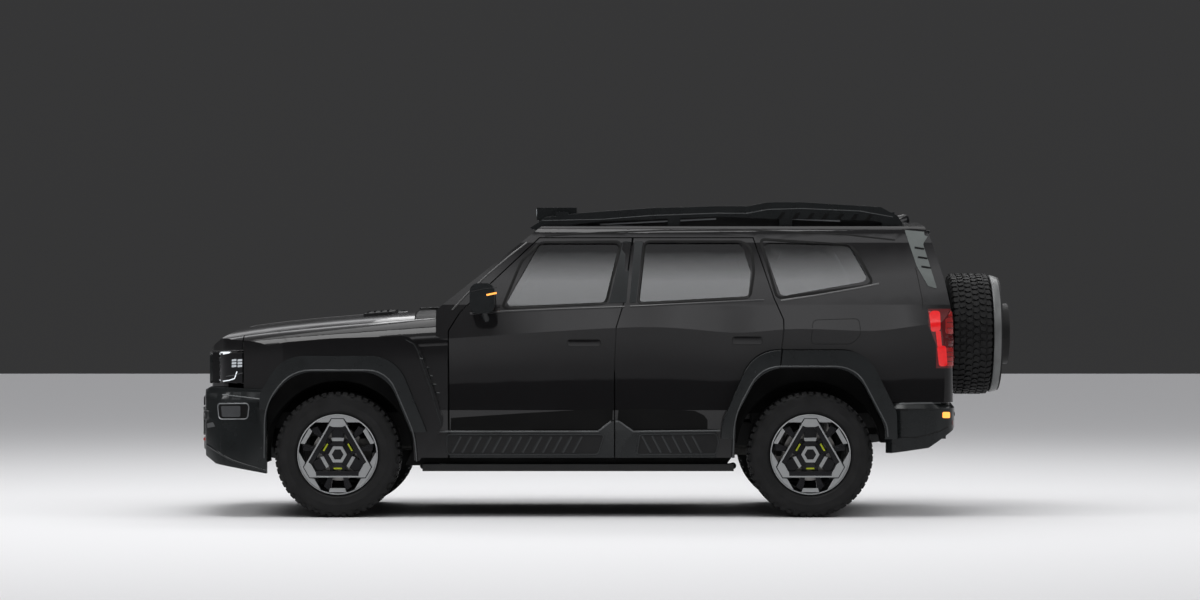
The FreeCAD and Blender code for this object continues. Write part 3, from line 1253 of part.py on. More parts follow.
def make_cabin():
    """Seats, dashboard and steering wheel."""
    low = FLOOR_TOP + S.panel_seat
    front_x = along(-0.10)
    seats = [seat(front_x, low, S.seat_width, side_y * S.seat_spacing / 2, S.seat_depth) for side_y in (-1, 1)]
    bench = seat(along(0.20), low, S.bench_width, 0, S.seat_depth * 0.95)
    add("seats", Part.makeCompound([*seats[0].Solids, *seats[1].Solids, *bench.Solids]))
    start = along(CABIN_PROFILE_SHARES[0][0]) + S.frame_wall + S.panel_seat
    outline = [(start, S.roof_height * 0.50), (start + 230, S.roof_height * 0.50), (start + 420, S.roof_height * 0.60),
               (start + 385, S.roof_height * 0.695), (start + 250, S.roof_height * 0.728), (start, S.roof_height * 0.70)]
    dash = side_prism(outline, -S.dash_half_width, S.dash_half_width)
    centre = steering_centre()
    axis = steering_axis()
    column_top = S.steer_hub_radius + S.panel_seat
    column = Part.makeCylinder(S.steer_column_radius, 260, centre + axis * column_top, axis)
    room = Part.makeCylinder(S.steer_hub_radius + S.steer_play, column_top, centre, axis)
    add("dashboard", united(dash.cut(room), column))
    ring = Part.makeTorus(S.steer_wheel_radius, S.steer_rim_radius, centre, axis)
    hub = Part.makeCylinder(S.steer_hub_radius, S.steer_hub_radius, centre, axis)
    spokes = [hub]
    across = Vector(0, 1, 0)
    for direction in (across, across * -1, axis.cross(across)):
        spokes.append(Part.makeCylinder(S.steer_rim_radius * 0.8, S.steer_wheel_radius,
                                        centre + axis * (S.steer_rim_radius), direction))
    add("steering_wheel", united(ring, *spokes))


def steering_axis():
    """The steering column's direction, forwards and down."""
    return Vector(-math.cos(math.radians(25)), 0, -math.sin(math.radians(25)))


def steering_centre():
    """The middle of the steering wheel's rim, in front of the left seat."""
    return Vector(along(-0.118), -S.seat_spacing / 2, S.roof_height * 0.66)


# Roof rack and spare wheel

RACK_SHARES = (
    (-0.061, 1.0587), (0.0098, 1.073), (0.1665, 1.091), (0.308, 1.098), (0.3727, 1.098), (0.4155, 1.112),
    (0.4865, 1.112), (0.658, 1.0945), (0.6947, 1.0626), (0.7074, 1.030), (0.695, 1.028), (0.64, 1.046),
    (0.43, 1.052), (0.308, 1.0604), (0.0527, 1.0427), (-0.085, 1.0135), (-0.0976, 1.018),
)


def make_rack():
    """Roof rack: two side rails, cross bars and feet on the roof."""
    outline = side(RACK_SHARES)[::-1]
    half = S.rack_half_width
    rails = []
    for sign in (-1, 1):
        near, far = sorted((sign * half, sign * (half - S.rack_tube_width)))
        rails.append(side_prism(outline, near, far))
    bars = []
    for share in (-0.04, 0.06, 0.18, 0.30, 0.42, 0.54, 0.66):
        bars.append(block((along(share), -half, S.rack_level), (along(share) + S.rack_bar_width, half,
                                                                S.rack_level + S.rack_plate)))
    bars.append(block((along(-0.082), -S.light_bar_half, S.rack_level - S.rack_plate),
                      (along(0.004), S.light_bar_half, S.rack_level + S.light_bar_height)))
    feet = []
    for share in (-0.04, 0.20, 0.44, 0.66):
        for sign in (-1, 1):
            near, far = sorted((sign * half, sign * (half - S.rack_tube_width)))
            feet.append(block((along(share), near, S.roof_height), (along(share) + S.rack_foot_width * 2, far,
                                                                    S.rack_level + S.rack_plate)))
    rack = united(*rails, *bars, *feet).cut(OUTER)
    add("roof_rack", max(rack.Solids, key=lambda solid: solid.Volume))


def make_spare():
    """Spare tyre on its carrier behind the tailgate, with its hard cover."""
    gate_x = along(CABIN_PROFILE_SHARES[2][0])
    near_x = gate_x + S.spare_gap

    def place(radius, angle, width):
        return Vector(near_x + S.tyre_width / 2 + width, radius * math.sin(angle), S.spare_height - radius * math.cos(angle))

    add("spare_tyre", lugged_tyre(place))
    gap = S.panel_seat
    cover_x = near_x + S.tyre_width + gap
    cover = Part.makeCylinder(S.tyre_radius - S.tyre_shoulder, S.cover_depth - gap, Vector(cover_x, 0, S.spare_height), X_AXIS)
    cap = Part.makeCylinder(S.tyre_radius * 0.5, S.hub_depth, Vector(cover_x + S.cover_depth - gap, 0, S.spare_height),
                            X_AXIS)
    add("spare_cover", united(cover, cap))
    carrier = block((gate_x + gap, -S.carrier_width / 2, S.spare_height - S.carrier_height / 2),
                    (near_x - gap, S.carrier_width / 2, S.spare_height + S.carrier_height / 2))
    post = Part.makeCylinder(S.rim_radius * 0.5, S.tyre_width + S.spare_gap - gap, Vector(gate_x + gap, 0, S.spare_height), X_AXIS)
    wheel = Part.makeCylinder(S.rim_radius, S.tyre_width / 2, Vector(near_x + S.tyre_width / 4, 0, S.spare_height), X_AXIS)
    add("spare_carrier", united(carrier, post, wheel))


left_flare = front_flare()
tail_flare = rear_flare().cut(side_prism(inset_outline(rear_door_outline(), [-S.door_gap] * 11), -WIDE, 0))
nose_bumper = front_bumper().cut(left_flare).cut(mirrored(left_flare))
nose_bumper = max(nose_bumper.Solids, key=lambda solid: solid.Volume)
make_doors()
make_cladding()
make_front_panels(left_flare, nose_bumper)
make_gate()
make_shell()
make_ends(nose_bumper, tail_flare)
add("flares", Part.makeCompound([*pair(left_flare).Solids, *pair(tail_flare).Solids]))
make_frame()
make_suspension()
make_rear_axle()
for name, axle_x, sign in (("front_left", FRONT_AXLE_X, -1), ("front_right", FRONT_AXLE_X, 1),
                           ("rear_left", REAR_AXLE_X, -1), ("rear_right", REAR_AXLE_X, 1)):
    make_wheel(name, axle_x, sign)
make_knuckle("left", -1)
make_knuckle("right", 1)
make_liners((nose_bumper, left_flare, doc.getObject("front_fender_left").Shape, doc.getObject("ladder_frame").Shape),
            (tail_flare, doc.getObject("body_side_left").Shape, doc.getObject("rear_bumper").Shape,
             doc.getObject("floor_pan").Shape, doc.getObject("ladder_frame").Shape))
make_power()
make_cabin()
make_rack()
make_spare()

doc.recompute()
os.makedirs("parts", exist_ok=True)
for piece in doc.Objects:
    if piece.TypeId == "Part::Feature":
        shape = piece.Shape
        assert not shape.isNull() and shape.isValid(), piece.Label
        print(piece.Label, len(shape.Solids), round(shape.Volume / 1e6, 2))
        shape.exportStep(f"parts/{piece.Label}.step")
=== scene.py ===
"""Looks of the lifted off-road 4x4: paint, glass, wheels, lamps, trim and cabin on the solids. Metres."""

import math

import bmesh
import bpy
from mathutils import Matrix, Vector
from mathutils.bvhtree import BVHTree
from mathutils.geometry import delaunay_2d_cdt


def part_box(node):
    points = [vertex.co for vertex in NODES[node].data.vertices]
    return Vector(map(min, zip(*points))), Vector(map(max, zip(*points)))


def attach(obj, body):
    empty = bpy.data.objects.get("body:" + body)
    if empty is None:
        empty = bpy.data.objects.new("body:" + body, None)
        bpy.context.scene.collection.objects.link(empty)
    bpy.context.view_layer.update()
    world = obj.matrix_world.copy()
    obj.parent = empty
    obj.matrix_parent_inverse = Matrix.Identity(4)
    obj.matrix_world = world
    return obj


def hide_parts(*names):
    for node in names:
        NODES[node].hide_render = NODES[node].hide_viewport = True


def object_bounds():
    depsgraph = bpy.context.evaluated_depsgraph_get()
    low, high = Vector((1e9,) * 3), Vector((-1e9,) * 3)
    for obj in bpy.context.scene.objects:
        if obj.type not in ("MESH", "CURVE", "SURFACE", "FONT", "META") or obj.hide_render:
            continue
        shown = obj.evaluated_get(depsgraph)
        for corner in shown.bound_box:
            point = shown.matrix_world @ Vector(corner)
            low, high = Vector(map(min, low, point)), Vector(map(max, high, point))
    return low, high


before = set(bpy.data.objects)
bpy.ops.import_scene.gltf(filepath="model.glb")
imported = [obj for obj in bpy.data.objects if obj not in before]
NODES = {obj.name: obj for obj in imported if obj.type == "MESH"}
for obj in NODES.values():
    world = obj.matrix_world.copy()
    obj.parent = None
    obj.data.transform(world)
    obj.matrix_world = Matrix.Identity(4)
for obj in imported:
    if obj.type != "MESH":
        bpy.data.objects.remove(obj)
CAD_LOW, CAD_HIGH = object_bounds()
TURN = 2 * math.pi
SINK = 0.004  # how far a plate or a band reaches below its skin
CORNER_SHARE = 0.45  # the share of a side that a rounded corner may take
DOME_EDGE = 0.05  # how far in from its edge a domed plate still rises
WELD_GAP = 1e-5

# The photograph's view of the vehicle's left side
CAMERA_PLACE = (-0.0085, -21.75, 1.187)
CAMERA_LENS = 101.5
CAMERA_SENSOR = 36
CAMERA_SHIFT = (-0.0038, 0.0205)
FRAME_WIDTH, FRAME_HEIGHT = 1200, 600
SIDE_DEPTH = -0.9


def node_middle(node):
    """The middle of a node's box."""
    low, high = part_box(node)
    return (low + high) / 2


# Forms: each is a list of points and a list of faces

def loft(rings, closed=False, open_ring=False):
    """Rings of as many points each, joined one after another, with ends capped or joined to each other."""
    count, rows = len(rings[0]), len(rings)
    faces = []
    for row in range(rows if closed else rows - 1):
        start, next_start = row * count, (row + 1) % rows * count
        for index in range(count - 1 if open_ring else count):
            ahead = (index + 1) % count
            faces.append([start + index, start + ahead, next_start + ahead, next_start + index])
    if not closed:
        faces.append(list(range(count))[::-1])
        faces.append([(rows - 1) * count + index for index in range(count)])
    return [tuple(point) for ring in rings for point in ring], faces


def prism(outline, low, high, normal="y"):
    """An outline in a plane, drawn out from low to high along the plane's normal."""
    place = {"y": lambda a, b, depth: (a, depth, b), "x": lambda a, b, depth: (depth, a, b)}[normal]
    return loft([[place(a, b, depth) for a, b in outline] for depth in (low, high)])


def box(low, high):
    """A box between two corners."""
    return prism(rectangle((low[0], low[2]), (high[0], high[2])), low[1], high[1])


def lathe(profile, centre=(0, 0, 0), steps=96, axis="y", closed=True):
    """A profile of (radius, depth) turned about an axis through centre."""
    rings = []
    for step in range(steps):
        cos, sin = math.cos(TURN * step / steps), math.sin(TURN * step / steps)
        ring = []
        for radius, depth in profile:
            offset = {"y": (radius * cos, depth, radius * sin), "x": (depth, radius * cos, radius * sin),
                      "z": (radius * cos, radius * sin, depth)}[axis]
            ring.append([c + o for c, o in zip(centre, offset)])
        rings.append(ring)
    return loft(rings, closed=True, open_ring=not closed)


def run_at(path, index, closed):
    """The direction of a path at one of its points."""
    if closed:
        return path[(index + 1) % len(path)] - path[index - 1]
    return path[min(index + 1, len(path) - 1)] - path[max(index - 1, 0)]


def tube(path, radius, sides=12):
    """A round tube along a path."""
    path = [Vector(point) for point in path]
    rings = []
    up = Vector((0, 0, 1))
    for index, place in enumerate(path):
        run = run_at(path, index, False).normalized()
        if abs(run.dot(up)) > 0.95:
            up = Vector((1, 0, 0)) if abs(run.x) < 0.9 else Vector((0, 1, 0))
        across = run.cross(up).normalized()
        up = across.cross(run).normalized()
        angles = [TURN * side / sides for side in range(sides)]
        rings.append([place + (across * math.cos(angle) + up * math.sin(angle)) * radius for angle in angles])
    return loft(rings)


def joined(*forms):
    """Several forms as one."""
    points, faces = [], []
    for form_points, form_faces in forms:
        start = len(points)
        points.extend(form_points)
        faces.extend([[index + start for index in face] for face in form_faces])
    return points, faces


def moved(form, matrix):
    """A form put through a matrix."""
    points, faces = form
    return [tuple(matrix @ Vector(point)) for point in points], faces


def mirrored(form):
    """The same form on the other side of the vehicle."""
    points, faces = form
    return [(x, -y, z) for x, y, z in points], faces


def arc(radius, start, end, steps):
    """Points on an arc about the origin, with angles in degrees."""
    angles = [math.radians(start + (end - start) * step / steps) for step in range(steps + 1)]
    return [(radius * math.cos(angle), radius * math.sin(angle)) for angle in angles]


def rounded(outline, radius, steps=4, closed=True):
    """An outline or a path with its corners rounded."""
    result = []
    count = len(outline)
    for index, corner in enumerate(outline):
        if not closed and index in (0, count - 1):
            result.append(tuple(corner))
            continue
        here = Vector(corner)
        back, ahead = Vector(outline[index - 1]) - here, Vector(outline[(index + 1) % count]) - here
        reach = min(radius, back.length * CORNER_SHARE, ahead.length * CORNER_SHARE)
        start, end = here + back.normalized() * reach, here + ahead.normalized() * reach
        for step in range(steps + 1):
            share = step / steps
            result.append(tuple(start * (1 - share) ** 2 + here * 2 * share * (1 - share) + end * share ** 2))
    return result


def rectangle(low, high):
    """A rectangle's corners, anticlockwise."""
    return [(low[0], low[1]), (high[0], low[1]), (high[0], high[1]), (low[0], high[1])]


def bevel_edges(target, width, angle):
    """Rounded edges."""
    edge = target.modifiers.new("edges", "BEVEL")
    edge.width = width
    edge.segments = 2
    edge.limit_method = "ANGLE"
    edge.angle_limit = math.radians(angle)
    return edge


def piece(name, form, material, body="root", bevel=0.0, angle=35, slot=None):
    """An object of the scene that rides on a body."""
    points, faces = form
    mesh = bpy.data.meshes.new(name)
    mesh.from_pydata(points, [], faces)
    work = bmesh.new()
    work.from_mesh(mesh)
    bmesh.ops.remove_doubles(work, verts=work.verts, dist=1e-6)
    bmesh.ops.recalc_face_normals(work, faces=work.faces)
    work.to_mesh(mesh)
    work.free()
    mesh.polygons.foreach_set("use_smooth", [True] * len(mesh.polygons))
    mesh.set_sharp_from_angle(angle=math.radians(angle))
    mesh.materials.append(material)
    made = bpy.data.objects.new(name, mesh)
    bpy.context.scene.collection.objects.link(made)
    if bevel:
        bevel_edges(made, bevel, angle).harden_normals = True
    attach(made, body)
    return made


def pair(name, form, material, body="root", **rest):
    """A piece on the left and its mirror on the right."""
    piece(f"{name}_left", form, material, body.replace("SIDE", "left"), **rest)
    piece(f"{name}_right", mirrored(form), material, body.replace("SIDE", "right"), **rest)


# Places: as seen in the photograph's frame, and on the skins of the solids

def seen(px, py, depth=SIDE_DEPTH):
    """The place at a depth across the vehicle that the photograph shows at a point of its frame."""
    reach = (depth - CAMERA_PLACE[1]) * CAMERA_SENSOR / CAMERA_LENS
    x = CAMERA_PLACE[0] + ((px - FRAME_WIDTH / 2) / FRAME_WIDTH + CAMERA_SHIFT[0]) * reach
    z = CAMERA_PLACE[2] - ((py - FRAME_HEIGHT / 2) / FRAME_WIDTH - CAMERA_SHIFT[1]) * reach
    return x, z


def skin(*names):
    """The skins of some nodes or pieces, for rays."""
    points, faces = [], []
    for name in names:
        target = NODES[name] if isinstance(name, str) else name
        start = len(points)
        points.extend(target.matrix_world @ vertex.co for vertex in target.data.vertices)
        faces.extend([[index + start for index in face.vertices] for face in target.data.polygons])
    return BVHTree.FromPolygons(points, faces)


def eased(node, move, material, body="root", cuts=()):
    """A node's own form with its points moved a little, in the node's place."""
    target = NODES[node]
    work = bmesh.new()
    work.from_mesh(target.data)
    work.transform(target.matrix_world)
    bmesh.ops.remove_doubles(work, verts=work.verts, dist=WELD_GAP)
    for place in cuts:
        bmesh.ops.bisect_plane(work, geom=[*work.verts, *work.edges, *work.faces], dist=WELD_GAP,
                               plane_co=(0, place, 0), plane_no=(0, 1, 0))
    work.verts.index_update()
    points = [tuple(move(vertex.co)) for vertex in work.verts]
    faces = [[vertex.index for vertex in face.verts] for face in work.faces]
    work.free()
    made = piece(f"eased_{node}", (points, faces), material, body, 0.0035)
    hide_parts(node)
    return made


def dense(outline, step, closed=True):
    """An outline with points no further apart than step."""
    result = []
    count = len(outline)
    for index in range(count if closed else count - 1):
        start, end = Vector(outline[index]), Vector(outline[(index + 1) % count])
        cuts = max(1, math.ceil((end - start).length / step))
        result.extend([tuple(start.lerp(end, cut / cuts)) for cut in range(cuts)])
    if not closed:
        result.append(tuple(outline[-1]))
    return result


def inside(point, outline):
    """Whether a point lies in an outline."""
    found = False
    x, y = point
    for index, (x1, y1) in enumerate(outline):
        x0, y0 = outline[index - 1]
        if (y0 > y) != (y1 > y) and x < (x1 - x0) * (y - y0) / (y1 - y0) + x0:
            found = not found
    return found


def edge_distance(point, outline):
    """The distance from a point to an outline."""
    best = 9.0
    here = Vector(point)
    for index, corner in enumerate(outline):
        start = Vector(outline[index - 1])
        run = Vector(corner) - start
        share = max(0.0, min(1.0, (here - start).dot(run) / max(run.length_squared, 1e-12)))
        best = min(best, (here - start - run * share).length)
    return best


# The order of the axes in each view, the direction of its rays and where they start
VIEWS = {
    "left": ((0, 2, 1), Vector((0, 1, 0)), -4.0),
    "top": ((0, 1, 2), Vector((0, 0, -1)), 4.0),
    "front": ((1, 2, 0), Vector((1, 0, 0)), -4.0),
    "rear": ((1, 2, 0), Vector((-1, 0, 0)), 4.0),
}


class Surface:
    """A skin seen in one view, with the plates and bands that lie on it, on both sides or once."""

    def __init__(self, tree, view="left", body="root", both=True):
        self.tree, self.body, self.make = tree, body, pair if both else piece
        self.order, self.run, self.start = VIEWS[view]
        self.out = -sum(self.run)

    def struck(self, *places):
        """The places (x, z) of the skin that the photograph shows at points of its frame."""
        start = Vector(CAMERA_PLACE)
        result = []
        for px, py in places:
            x, z = seen(px, py)
            hit = self.tree.ray_cast(start, (Vector((x, SIDE_DEPTH, z)) - start).normalized())
            result.append((hit[0].x, hit[0].z) if hit[0] is not None else (x, z))
        return result

    def put(self, a, b, depth):
        """A place from its two coordinates in the view and its depth."""
        place = [0, 0, 0]
        for axis, value in zip(self.order, (a, b, depth)):
            place[axis] = value
        return tuple(place)

    def depth(self, a, b, other=None):
        """The depth at which the view's ray meets the skin."""
        hit = self.tree.ray_cast(Vector(self.put(a, b, self.start)), self.run)
        return hit[0][self.order[2]] if hit[0] is not None else other

    def plate(self, name, outline, lift, material, body=None, bevel=0.0, sink=SINK, grid=0.03, crown=0.0):
        """A plate: its face at lift above the skin, its back at sink below it, domed by crown."""
        loop = dense(outline, grid)
        flat = [Vector(point) for point in loop]
        edges = [(index, (index + 1) % len(loop)) for index in range(len(loop))]
        low, high = [[pick(values) for values in zip(*outline)] for pick in (min, max)]
        a = low[0] + grid
        while a < high[0]:
            b = low[1] + grid
            while b < high[1]:
                if inside((a, b), outline) and edge_distance((a, b), outline) > grid * CORNER_SHARE:
                    flat.append(Vector((a, b)))
                b += grid
            a += grid
        verts, _, kept, *_ = delaunay_2d_cdt(flat, edges, [], 1, 1e-7)
        depths = [self.depth(*point) for point in verts]
        known = [index for index, depth in enumerate(depths) if depth is not None]
        for index, depth in enumerate(depths):
            if depth is None:
                nearest = min(known, key=lambda k: (verts[k] - verts[index]).length_squared)
                depths[index] = depths[nearest]
        points = []
        for shift, dome in ((lift, crown), (-sink, 0.0)):
            for point, depth in zip(verts, depths):
                rise = dome * min(1.0, edge_distance(point, outline) / DOME_EDGE) ** 0.5 if dome else 0.0
                points.append(self.put(*point, depth + self.out * (shift + rise)))
        count = len(verts)
        faces = [list(face) for face in kept] + [[index + count for index in face[::-1]] for face in kept]
        used = dict.fromkeys(edge for face in kept for edge in zip(face, [*face[1:], face[0]]))
        faces += [[end, start, start + count, end + count] for start, end in used
                  if (end, start) not in used]
        self.make(name, (points, faces), material, body or self.body, bevel=bevel)

    def band(self, name, path, width, lift, material, body=None, bevel=0.0, sink=SINK, step=0.02,
             closed=False, other=None):
        """A narrow band along a path, with its edges bent down to the skin."""
        path = [Vector(point) for point in dense(path, step, closed)]
        profile = ((-1, -sink), (-1, lift * 0.6), (-0.6, lift), (0.6, lift), (1, lift * 0.6), (1, -sink))
        rows = []
        for index, here in enumerate(path):
            run = run_at(path, index, closed)
            across = Vector((-run.y, run.x)).normalized() * (width / 2)
            for share, level in profile:
                place = here + across * share
                rows.append((place, level, self.depth(*place)))
        known = [row for row in rows if row[2] is not None]
        points = []
        for place, level, depth in rows:
            if depth is None:
                nearest = min(known, key=lambda row: (row[0] - place).length_squared) if known else None
                depth = nearest[2] if known else other
            points.append(self.put(*place, depth + self.out * level))
        size = len(profile)
        rings = [points[start:start + size] for start in range(0, len(points), size)]
        self.make(name, loft(rings, closed), material, body or self.body, bevel=bevel)


# Materials

def shader(name, base, rough, metal=0.0, **sockets):
    """A material with its main values on the shader's own sockets."""
    made = bpy.data.materials.new(name)
    made.use_nodes = True
    inputs = made.node_tree.nodes["Principled BSDF"].inputs
    inputs["Base Color"].default_value = (*base, 1)
    inputs["Roughness"].default_value = rough
    inputs["Metallic"].default_value = metal
    for label, value in sockets.items():
        inputs[label.replace("_", " ").title().replace("Ior", "IOR")].default_value = value
    return made


def texture(made, kind, scale):
    """A texture in the object's own coordinates, in metres."""
    nodes = made.node_tree.nodes
    places = nodes.get("places")
    if places is None:
        places = nodes.new("ShaderNodeTexCoord")
        places.name = "places"
    node = nodes.new(kind)
    node.inputs["Scale"].default_value = scale
    made.node_tree.links.new(places.outputs["Object"], node.inputs["Vector"])
    return node


def noise(made, scale, detail=3.0):
    """Soft noise."""
    node = texture(made, "ShaderNodeTexNoise", scale)
    node.inputs["Detail"].default_value = detail
    return node.outputs["Fac"]


def cells(made, scale):
    """A pattern of cells."""
    return texture(made, "ShaderNodeTexVoronoi", scale).outputs["Distance"]


def ramp(made, source, low, high, socket):
    """A colour ramp between two colours, from a source into one of the shader's sockets."""
    nodes, links = made.node_tree.nodes, made.node_tree.links
    node = nodes.new("ShaderNodeValToRGB")
    for element, position, colour in zip(node.color_ramp.elements, (0.3, 0.7), (low, high)):
        element.position = position
        element.color = (*colour, 1)
    links.new(source, node.inputs["Fac"])
    links.new(node.outputs["Color"], nodes["Principled BSDF"].inputs[socket])


def vary(made, base, low, high, scale, detail=4.0):
    """The base colour between two shares of itself."""
    ramp(made, noise(made, scale, detail), [v * low for v in base], [v * high for v in base], "Base Color")


def wear(made, low, high, scale):
    """Slow variation of the roughness."""
    ramp(made, noise(made, scale, 5.0), [low] * 3, [high] * 3, "Roughness")


def bump(made, source, strength, distance):
    """A height into the shader's normal."""
    nodes, links = made.node_tree.nodes, made.node_tree.links
    node = nodes.new("ShaderNodeBump")
    node.inputs["Strength"].default_value = strength
    node.inputs["Distance"].default_value = distance
    links.new(source, node.inputs["Height"])
    links.new(node.outputs["Normal"], nodes["Principled BSDF"].inputs["Normal"])


def paint():
    """Charcoal metallic with fine flake under clear coat."""
    base = (0.0075, 0.0072, 0.0078)
    made = shader("paint", base, 0.34, 0.3, coat_weight=1.0, coat_roughness=0.04, coat_ior=1.42,
                  specular_ior_level=0.06)
    vary(made, base, 0.55, 1.7, 2600, 1.0)
    wear(made, 0.31, 0.38, 3.0)
    bump(made, noise(made, 2600, 1.0), 0.05, 0.0002)
    return made


def satin(name, base, rough, metal=0.0, grain=0.08, sheen=0.5):
    """Moulded or coated satin trim with a fine grain."""
    made = shader(name, base, rough, metal, specular_ior_level=sheen)
    vary(made, base, 0.86, 1.14, 9.0)
    wear(made, rough * 0.88, rough * 1.15, 5.0)
    bump(made, noise(made, 1400, 2.0), grain, 0.0004)
    return made


def rubber(name, base, rough):
    """Tyre rubber with a faint dusty film."""
    made = shader(name, base, rough, specular_ior_level=0.25)
    vary(made, base, 0.75, 1.5, 14, 6.0)
    wear(made, rough * 0.86, min(rough * 1.1, 1.0), 11.0)
    bump(made, noise(made, 900), 0.12, 0.0005)
    return made


def glass():
    """Glass that darkens what lies behind it."""
    made = shader("tinted_glass", (0.22, 0.24, 0.25), 0.0, transmission_weight=1.0, ior=2.0)
    wear(made, 0.0, 0.015, 2.0)
    return made


def machined():
    """Turned aluminium under lacquer."""
    base = (0.40, 0.41, 0.415)
    made = shader("machined", base, 0.36, 0.6, coat_weight=0.3, coat_roughness=0.12)
    vary(made, base, 0.94, 1.06, 5.0)
    bump(made, noise(made, 2200, 1.0), 0.02, 0.0001)
    wear(made, 0.31, 0.38, 6.0)
    return made


def lamp(name, base, strength, rough=0.25):
    """A lit lens with a fine prism pattern."""
    made = shader(name, base, rough, emission_color=(*base, 1), emission_strength=strength, coat_weight=0.6)
    bump(made, cells(made, 160), 0.3, 0.001)
    vary(made, base, 0.85, 1.0, 40, 3.0)
    return made


def leather(name, base):
    """Seat leather with a pebbled grain."""
    made = shader(name, base, 0.55)
    vary(made, base, 0.82, 1.18, 6.0)
    bump(made, cells(made, 520), 0.25, 0.0008)
    return made


def cast(name, base, rough):
    """Cast or forged iron with a rough skin."""
    made = shader(name, base, rough, 0.75)
    vary(made, base, 0.65, 1.35, 22.0, 8.0)
    wear(made, rough * 0.8, min(rough * 1.25, 1.0), 30.0)
    bump(made, noise(made, 380, 6.0), 0.35, 0.0012)
    return made


PAINT = paint()
SATIN = satin("satin_grey", (0.013, 0.0148, 0.0155), 0.24, 0.2, 0.08, 0.45)
PLASTIC = satin("black_plastic", (0.009, 0.009, 0.0095), 0.55, 0.0, 0.2, 0.3)
# Near-black felt: liners, slots and recess panels, and the sheet that paints the shade under the sills.
LINER = satin("liner_felt", (0.004, 0.004, 0.004), 0.85, 0.0, 0.3, 0.2)
GLOSS = satin("gloss_black", (0.006, 0.006, 0.007), 0.10, 0.0, 0.01)
CHASSIS = satin("chassis_black", (0.010, 0.010, 0.010), 0.5, 0.2, 0.1)
RUBBER = rubber("tyre_rubber", (0.0085, 0.0085, 0.0088), 0.62)
SEAL = rubber("seal_rubber", (0.006, 0.006, 0.006), 0.7)
TINT = glass()
MACHINED = machined()
ALLOY = satin("dark_alloy", (0.022, 0.022, 0.024), 0.30, 0.8, 0.03)
STEEL = satin("brake_steel", (0.32, 0.31, 0.30), 0.36, 1.0, 0.05)
# Silver: trim, and strips that paint a reflection under the roof rack.
SILVER = satin("silver_trim_and_reflection", (0.32, 0.33, 0.34), 0.32, 0.9, 0.02)
IRON = cast("cast_iron", (0.08, 0.078, 0.075), 0.62)
LIME = satin("lime_accent", (0.55, 0.62, 0.015), 0.4, 0.0, 0.03)
WHITE_LAMP = lamp("lamp_white", (0.80, 0.84, 0.88), 0.55)
RED_LAMP = lamp("lamp_red", (0.60, 0.008, 0.010), 0.55)
DARK_RED = lamp("lamp_red_dark", (0.10, 0.003, 0.004), 0.05, 0.12)
AMBER_LAMP = lamp("lamp_amber", (1.0, 0.36, 0.06), 1.4)
LEATHER = leather("seat_leather", (0.035, 0.032, 0.030))
PILLAR = satin("pillar_grey", (0.018, 0.020, 0.021), 0.36, 0.3, 0.06, 0.35)
# Pale grey: painted highlights along edges, chamfers and a facet, and the front skid plate.
EDGE = satin("edge_grey", (0.09, 0.094, 0.096), 0.32, 0.5, 0.04)
# Grey: frames, and the painted highlights on the sills' recess frames and ribs.
FRAME = satin("frame_grey", (0.030, 0.032, 0.033), 0.32, 0.4, 0.04)
# Near-black with little sheen: painted shade on the undercut at the foot of the doors.
UNDERCUT_SHADE = satin("band_black", (0.003, 0.003, 0.003), 0.5, 0.0, 0.05, 0.12)
# Pale grey: painted highlights along the quarter ledge and the windscreen pillar.
LEDGE_HIGHLIGHT = satin("ledge_highlight_grey", (0.10, 0.10, 0.10), 0.30, 0.5, 0.04)
GRILLE = satin("grille_grey", (0.030, 0.032, 0.034), 0.30, 0.6, 0.03)
FIN = satin("fin_grey", (0.14, 0.155, 0.15), 0.35, 0.2, 0.03)
COVER = satin("cover_grey", (0.16, 0.165, 0.165), 0.42, 0.4, 0.06)
SMOKE = satin("smoke_lens", (0.05, 0.052, 0.055), 0.12, 0.0, 0.02)
LENS = lamp("lamp_lens", (0.50, 0.53, 0.56), 0.25, 0.15)
CLEAR_RED = lamp("lamp_red_rib", (0.30, 0.008, 0.008), 0.10)
HOOK_RED = satin("hook_red", (0.36, 0.022, 0.012), 0.45, 0.1, 0.05)
SCREEN = satin("screen", (0.004, 0.005, 0.007), 0.08, 0.0, 0.0)

PLACES = ("front_left", "front_right", "rear_left", "rear_right")
NODE_EDGE_ANGLE = 12

# Each look with the width of its rounded edges and the nodes that wear it
LOOKS = (
    (PAINT, 0.0, "body_side_left body_side_right front_fender_left front_fender_right roof hood tailgate"),
    (PAINT, 0.0, "door_PLACE"),
    (TINT, 0.0, "fixed_glass tailgate_glass door_glass_PLACE"),
    (SATIN, 0.004, "flares front_bumper rear_bumper rear_spoiler roof_rack trim_PLACE"),
    (GLOSS, 0.003, "grille headlamps"),
    (PLASTIC, 0.003, "fuel_tank cowl dashboard spare_cover"),
    (CHASSIS, 0.002, "ladder_frame front_suspension floor_pan spare_carrier"),
    (IRON, 0.002, "rear_axle engine knuckle_left knuckle_right"),
    (LINER, 0.002, "arch_liners"),
    (DARK_RED, 0.002, "tail_lamps"),
    (LEATHER, 0.002, "seats"),
    (LEATHER, 0.0, "steering_wheel"),
    (RUBBER, 0.002, "spare_tyre tyre_PLACE"),
    (ALLOY, 0.002, "rim_PLACE"),
)


def dress(target, look, width):
    """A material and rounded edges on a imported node."""
    target.data.materials.clear()
    target.data.materials.append(look)
    if width:
        target.modifiers.new("weld", "WELD").merge_threshold = WELD_GAP
        bevel_edges(target, width, NODE_EDGE_ANGLE).miter_outer = "MITER_ARC"
        weigh = target.modifiers.new("weigh", "WEIGHTED_NORMAL")
        weigh.mode = "FACE_AREA"
        weigh.weight = 100


def dress_nodes():
    """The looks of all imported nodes."""
    for look, width, names in LOOKS:
        for name in names.split():
            for node in dict.fromkeys(name.replace("PLACE", place) for place in PLACES):
                dress(NODES[node], look, width)


# Wheels

